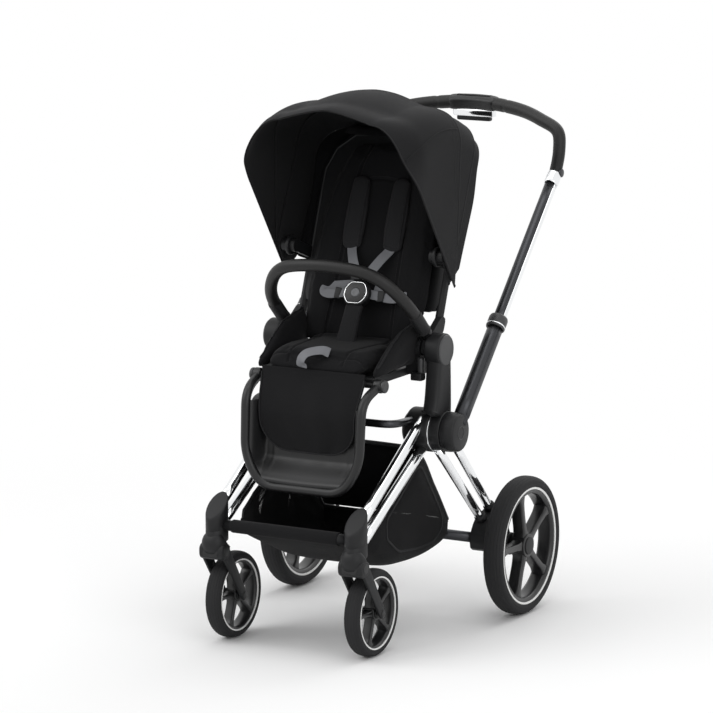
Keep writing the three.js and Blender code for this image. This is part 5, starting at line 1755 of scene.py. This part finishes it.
@dataclass
class Canopy:
    """Three nested panels turned about one axis, with bindings, seams and hinge discs."""

    axis: tuple[float, float] = (26.0, 782.0)
    radius: float = 334.0
    half: float = 200.0
    shoulder: float = 85.0
    crown: float = 15.0
    panels: tuple[Panel, ...] = (
        Panel("front", "canopy_front", "canopy_visor", 0,
              ((157, 69), (-38.5, 261), (-31, 308), (-25, 352)), ((60, 42), (8, 434))),
        Panel("middle", "canopy_middle", "canopy_bow", 1, ((160, 52), (-60, 24), (-4, 434)), ((60, 52), (26, 434))),
        Panel("rear", "canopy_rear", "backrest", 2, ((165, 60), (-60, 24), (20, 434)),
              ((119, 66), (50, 162), (38, 229), (38, 305), (40, 434))),
    )

    def build(self) -> None:
        """Builds the panels and their trims, then the hinges."""
        for panel in self.panels:
            self.panel(panel)
        self.shroud()
        for side, word in SIDES:
            disc = drum(21, 169, 177, 2.5, side, *self.axis)
            dress(build(f"canopy_hinge_{word}", disc), PLASTIC, "backrest")

    def shroud(self) -> None:
        """The cloth that closes the gap between the rear panel's back edge and the backrest frame."""
        outer = resample(self.grid(self.panels[2])[:, -1], 160)[None] - [0, 1, 0]
        frame_line = bent([(-167, 40, 96), (-167, 45, 385), (-112, 45, 462), (112, 45, 462), (167, 45, 385),
                           (167, 40, 96)], 44, 160)
        inner = leaned(*frame_line.T)[None]
        share = np.linspace(0, 1, 24)[:, None, None]
        fold = 2.0 * np.sin(np.linspace(0, 46, 160))[None, :, None] * np.sin(np.pi * share)
        grid = outer * (1 - share) + inner * share + [0, 1, 0] * (7 * np.sin(np.pi * share) + fold)
        cloth = soften(build("canopy_shroud", shell(grid, 1.6)))
        width, length = arc_lengths(grid, 1, False)[-1], arc_lengths(grid, 0, False)[-1]
        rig.sheet(cloth, (width, length), "stretched", ["backrest_frame"])
        # the shroud takes the darker copy of the canopy cloth, as painted shade
        dress(cloth, CANOPY_PAINTED_SHADE, "backrest")

    def profile(self, step: int) -> tuple[np.ndarray, np.ndarray]:
        """Half the profile over shoulder and crown: (across, radius), from the side to the middle."""
        radius, half = self.radius - 5 * step - 0.9, self.half - 3.5 * step - 0.9
        shoulder = self.shoulder * radius / self.radius
        angle = np.linspace(np.pi / 2, 0, 22)
        x = half - shoulder + shoulder * np.sin(angle)
        r = radius - self.crown - shoulder * (1 - np.cos(angle))
        top = np.linspace(1, 0, 20)[1:]
        return (np.concatenate([x, top * (half - shoulder)]),
                np.concatenate([r, radius - self.crown * top ** 1.5]))

    def edge(self, marks: tuple, radii: np.ndarray, count: int) -> np.ndarray:
        """Points of an edge: count along the side, then one at each distance in radii."""
        a, d = np.radians([m[0] for m in marks]), np.array([m[1] for m in marks], float)
        line = bent(np.stack([0 * a, d * np.sin(a), d * np.cos(a)], -1), 22, 900)[:, 1:]
        away = np.linalg.norm(line, axis=1)
        cut = len(away) - 1 - np.argmax(away[::-1] <= radii[0])
        side = resample(np.pad(line[:cut + 1], ((0, 0), (0, 1))), count)[:, :2]
        at = np.interp(radii[1:], away[cut:], np.arange(cut, len(away)))
        over = np.stack([np.interp(at, np.arange(len(line)), line[:, k]) for k in range(2)], -1)
        return np.vstack([side, over])

    def grid(self, panel: Panel, columns: int = 44) -> np.ndarray:
        """The panel's surface: rows go across the pushchair, columns from front edge to back edge.

        On the sides a column runs on the chord between both edges; further out it becomes the arc about
        the axis. The cloth sags a little between its edges.
        """
        x, radii = self.profile(panel.step)
        count = 30
        front, back = (self.edge(marks, radii, count) for marks in (panel.front, panel.back))
        share = np.linspace(0, 1, columns)[None]
        chord = front[:, None] * (1 - share[..., None]) + back[:, None] * share[..., None]
        angle = [np.arctan2(e[:, 0], e[:, 1])[:, None] for e in (front, back)]
        away = [np.linalg.norm(e, axis=1)[:, None] for e in (front, back)]
        turn = angle[0] * (1 - share) + angle[1] * share
        reach = away[0] * (1 - share) + away[1] * share
        arc = np.stack([reach * np.sin(turn), reach * np.cos(turn)], axis=-1)
        far = ramp(np.minimum(*away), 105, 185)[..., None]
        flat = chord * (1 - far) + arc * far
        across = np.concatenate([np.full(count, x[0]), x[1:]])[:, None] + 0 * share
        sag = np.sin(np.pi * share) ** 0.8 * ramp(np.linalg.norm(flat, axis=-1), 150, 300)
        out = flat / np.maximum(np.linalg.norm(flat, axis=-1, keepdims=True), 1)
        over = np.concatenate([np.zeros(count), np.linspace(0, 1, len(x) - 1)])[:, None]
        flat = flat - out * (1.7 * sag * over)[..., None]
        dip = 13 * np.exp(-((over - 0.48) / 0.23) ** 2) * (ramp(share, 0.06, 0.4) if panel.name == "front" else 1)
        flat = flat - out * (dip * ramp(away[0], 190, 300))[..., None]
        brim = ramp(0.3 - share, 0, 0.3) if panel.name == "front" else 0 * share
        rounded_over = ramp(away[0], 190, 300)
        flat = flat + out * (11 * brim * rounded_over * over)[..., None] + [-6, 2] * (brim * rounded_over)[..., None]
        across = across * (1 - 0.07 * brim * rounded_over)
        across = across - 1.4 * np.sin(np.pi * share) * (1 - over) * ramp(away[0], 60, 160)
        half = np.stack([across, flat[..., 0] + self.axis[0], flat[..., 1] + self.axis[1]], axis=-1)
        return np.vstack([half, (half * [-1, 1, 1])[-2::-1]])

    def panel(self, panel: Panel) -> None:
        """One panel: cloth and bound edges; the front panel also gets a sewn rib along each shoulder."""
        grid = self.grid(panel)
        cloth = build(f"canopy_panel_{panel.name}", shell(grid, 1.8))
        self.paint_shade_inside(cloth)
        width, length = arc_lengths(grid, 1, False)[-1], arc_lengths(grid, 0, False)[-1]
        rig.sheet(cloth, (width, length), "stretched", ["backrest_frame"])
        dress(cloth, CANOPY_CLOTH, panel.body, (panel.node,))
        # the inner faces take the darker copy of the cloth as painted shade
        cloth.data.materials.append(CANOPY_PAINTED_SHADE.material())
        soften(cloth)
        rims = [resample(grid[:, 0], 400)] if panel.name == "rear" else [resample(grid[:, 0], 400),
                                                                         resample(grid[:, -1], 400)]
        bindings = [sweep(rim, oval(1.3, 3.4, 16, 3), (0, -1, 0.25)) for rim in rims]
        dress(build(f"canopy_binding_{panel.name}", *bindings), CANOPY_CLOTH, panel.body)
        if panel.name == "front":
            self.seams(grid, cloth, panel.body)

    def seams(self, grid: np.ndarray, cloth: bpy.types.Object, body: str) -> None:
        """Sewn ribs on the front panel: along both shoulders, and beside its back edge."""
        ribs, rows = [], []
        for row in (34, len(grid) - 35):
            line, face = snap(resample(grid[row, 1:-1], 90) * [1.01, 1, 1], cloth, 0.3)
            ribs.append(sweep(line, oval(1.5, 0.9, 12), tuple(face.mean(axis=0))))
        for column in (-4, -7):
            path = resample(grid[14:-14, column], 240)
            middle = np.array([0, *self.axis])
            rows.append(stitch_row(path + unit(path - middle) * 3, cloth, 0.25, 4.6, 3.2, 0.35))
        dress(build("canopy_ribs", *ribs), CANOPY_CLOTH, body)
        dress(build("canopy_stitches", *rows), THREAD, body)

    def paint_shade_inside(self, cloth: bpy.types.Object) -> None:
        """Gives the faces that look at the axis the second material: a darker copy of the canopy cloth, painted shade
        on the inside.
        """
        count = len(cloth.data.polygons)
        centre, normal = np.zeros(count * 3, np.float32), np.zeros(count * 3, np.float32)
        cloth.data.polygons.foreach_get("center", centre)
        cloth.data.polygons.foreach_get("normal", normal)
        out = centre.reshape(-1, 3) / MM - SHIFT - [0, *self.axis]
        inner = np.sum(out * normal.reshape(-1, 3), axis=1) < 0
        cloth.data.polygons.foreach_set("material_index", inner.astype(np.int32))


# ------------------------------------------------------------------ basket


@dataclass
class Basket:
    """The cloth tub under the seat: it bends with the chassis fold."""

    half: float = 149.0
    stations: tuple = (
        (-288, 246, 251, 118), (-268, 230, 258, 121), (-238, 214, 266, 138), (-176, 186, 290, 148),
        (-95, 151, 331, 149), (-12, 139, 372, 149), (60, 141, 292, 149), (108, 155, 229, 149),
        (119, 165, 214.5, 148.5), (121.4, 185, 212, 148.5), (121.6, 207, 209, 148.5))
    window: tuple = ((-152, 262), (-20, 348), (0, 346), (84, 238), (96, 206), (60, 172), (0, 166), (-90, 180),
                     (-150, 222))

    def bends(self) -> tuple:
        """The two bodies that the tub bends between, and where."""
        return "front_frame", "rear_frame", (0, -20, 300), (0, 110, 200)

    def build(self) -> None:
        """Builds the tub, its bound edges, window seams and the sleeve on the front bar."""
        y, low, high, half = flowing_rows(self.stations, 110).T[:, :, None]
        angle = np.linspace(np.pi, 2 * np.pi, 110)[None]
        c, s = np.cos(angle), np.abs(np.sin(angle))
        power = 2 / 6.5
        x = half * np.sign(c) * np.abs(c) ** power
        drop = s ** power
        depth = high - low
        bulge = 2.5 * np.sin(np.pi * drop) * np.clip(depth / 150, 0, 1) * np.sign(c)
        crease = 0.8 * np.sin(y / 9 + x / 31) * drop * (1 - drop) * 2
        z = high - depth * drop - 2.5 * (1 - (x / half) ** 2) * np.clip(depth / 150, 0, 1)
        grid = np.stack(np.broadcast_arrays(x + bulge, y + crease, z), axis=-1)
        tub = build("basket_tub", shell(grid, 1.7))
        self.open_windows(tub)
        length, width = arc_lengths(grid, 0, False)[-1], arc_lengths(grid, 1, False)[-1]
        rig.sheet(tub, (width, length), "hung", ["front_bar", "rear_bar"])
        dress(tub, BASKET_CLOTH, self.bends(), ("basket",))
        edges = []
        for column in (0, -1):
            rim = resample(grid[4:, column], 200)
            edges.append(sweep(rim, oval(1.9, 4.6, 16, 3), (0, 0.3, 1)))
        back = resample(grid[-1], 90)
        edges.append(sweep(back, oval(1.9, 4.2, 16, 3), (0, 0.1, 1)))
        outlines = rounded(list(self.window), 20, 220)
        for side in (-1, 1):
            line, _ = snap(np.column_stack([np.full(220, side * 156.0), outlines]), tub, 0.4)
            edges.append(sweep(line, oval(2.6, 0.8, 12, 3), (side, 0, 0.05), closed=True))
        dress(build("basket_binding", *edges), PIPING, self.bends())
        self.back_wall()
        sleeve = turned([(11.3, -124), (13, -124), (13.6, -122), (13.6, 122), (13, 124), (11.3, 124)],
                        (0, -300, 250))
        dress(build("basket_sleeve", sleeve), APRON_CLOTH, "front_frame")

    def back_wall(self) -> None:
        """The cloth that slants down from the stiff upper rim to the tub's low back edge."""
        y = np.linspace(-4, 118, 50)[:, None]
        share = np.linspace(0, 1, 50)[:, None]
        across = np.linspace(-1, 1, 60)[None]
        half = 146 - 14 * (1 - ramp(share, 0, 0.12))
        z = np.interp(y, [-4, 60, 118], [384, 296, 214]) - 7 * np.sin(np.pi * share) * (1 - across ** 2)
        grid = np.stack(np.broadcast_arrays(half * across, y, z), axis=-1)
        wall = soften(build("basket_back_wall", shell(grid, 1.7)))
        width, length = arc_lengths(grid, 1, False)[-1], arc_lengths(grid, 0, False)[-1]
        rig.sheet(wall, (width, length), "hung", ["front_bar", "rear_bar"])
        dress(wall, BASKET_CLOTH, self.bends())
        line = np.array([(x, -6, 386 - 2 * (x / 132) ** 2) for x in np.linspace(-132, 132, 40)])
        rim = tube(line, 5.5, (0, 0, 1), 24)
        dress(build("basket_rim", rim), PLASTIC, "front_frame")

    def open_windows(self, tub: bpy.types.Object) -> None:
        """Marks the side windows, inside their curved outline, as open mesh."""
        x, y, z = points_of(tub).T
        outline = np.array(self.window, float)
        inside = np.ones(len(y), bool)
        middle = outline.mean(axis=0)
        for a, b in zip(outline, np.roll(outline, -1, axis=0)):
            edge = (b[0] - a[0]) * (z - a[1]) - (b[1] - a[1]) * (y - a[0])
            same = (b[0] - a[0]) * (middle[1] - a[1]) - (b[1] - a[1]) * (middle[0] - a[0])
            inside &= edge * np.sign(same) > 0
        inside &= np.abs(x) > 143
        layer = tub.data.attributes.new("open_mesh", "FLOAT", "POINT")
        layer.data.foreach_set("value", inside.astype(np.float32))


def flowing_rows(rows: tuple, count: int) -> np.ndarray:
    """Stations of several numbers, drawn as smoothly as a line and resampled along their first three."""
    table = np.array(rows, float)
    spot = flowing(table[:, :3].tolist(), count)
    along = np.linspace(0, 1, len(table))
    knots = np.array([np.argmin(np.linalg.norm(spot - row[:3], axis=1)) for row in table]) / (count - 1)
    last = np.interp(np.interp(np.linspace(0, 1, count), knots, along), along, table[:, 3])
    return np.column_stack([spot, last])


# ------------------------------------------------------------------ carried-over CAD nodes


@dataclass
class CarriedNodes:
    """CAD nodes that keep their shape: each gets a finish, a weld and rounded edges."""

    finishes: tuple = (
        ("rear_bracket_left", PLASTIC, 1.6), ("rear_bracket_right", PLASTIC, 1.6), ("brake_pedal", PLASTIC, 1.4),
        ("seat_base", PLASTIC, 1.2), ("backrest_frame", PLASTIC, 1.0))

    weld_distance: float = 0.00005
    sharp_angle: float = math.radians(34)

    def build(self) -> None:
        """Dresses every carried node."""
        for name, finish, width in self.finishes:
            node = frame["nodes"][name]
            node.data.materials.clear()
            node.data.materials.append(finish.material())
            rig.slot(node, finish.slot)
            add_modifier(node, "WELD", merge_threshold=self.weld_distance)
            add_modifier(node, "BEVEL", width=width * MM, segments=3, limit_method="ANGLE",
                         angle_limit=self.sharp_angle)
            log.info("%s: carried over, %s", name, finish.name)


# ------------------------------------------------------------------ main


def write_sizes() -> None:
    """Writes the CAD model's and the finished model's corners to one file."""
    boxes = {"cad": CAD_BOX, "visual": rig.bounds()}
    plain = {name: [[float(v) for v in corner] for corner in box] for name, box in boxes.items()}
    with open("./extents.json", "w") as out:
        json.dump(plain, out, indent=1)
    log.info("sizes: %s", plain)


def main() -> None:
    """Builds every assembly in order, then writes both sizes."""
    logging.basicConfig(level=logging.INFO, format="%(message)s")
    assemblies = (Studio(), Chassis(), Casters(), PushBar(), Seat(), Harness(), Bumper(), Legrest(), Canopy(),
                  Basket(), CarriedNodes())
    for assembly in assemblies:
        log.info("== %s", type(assembly).__name__)
        assembly.build()
    write_sizes()


if __name__ == "__main__":
    main()
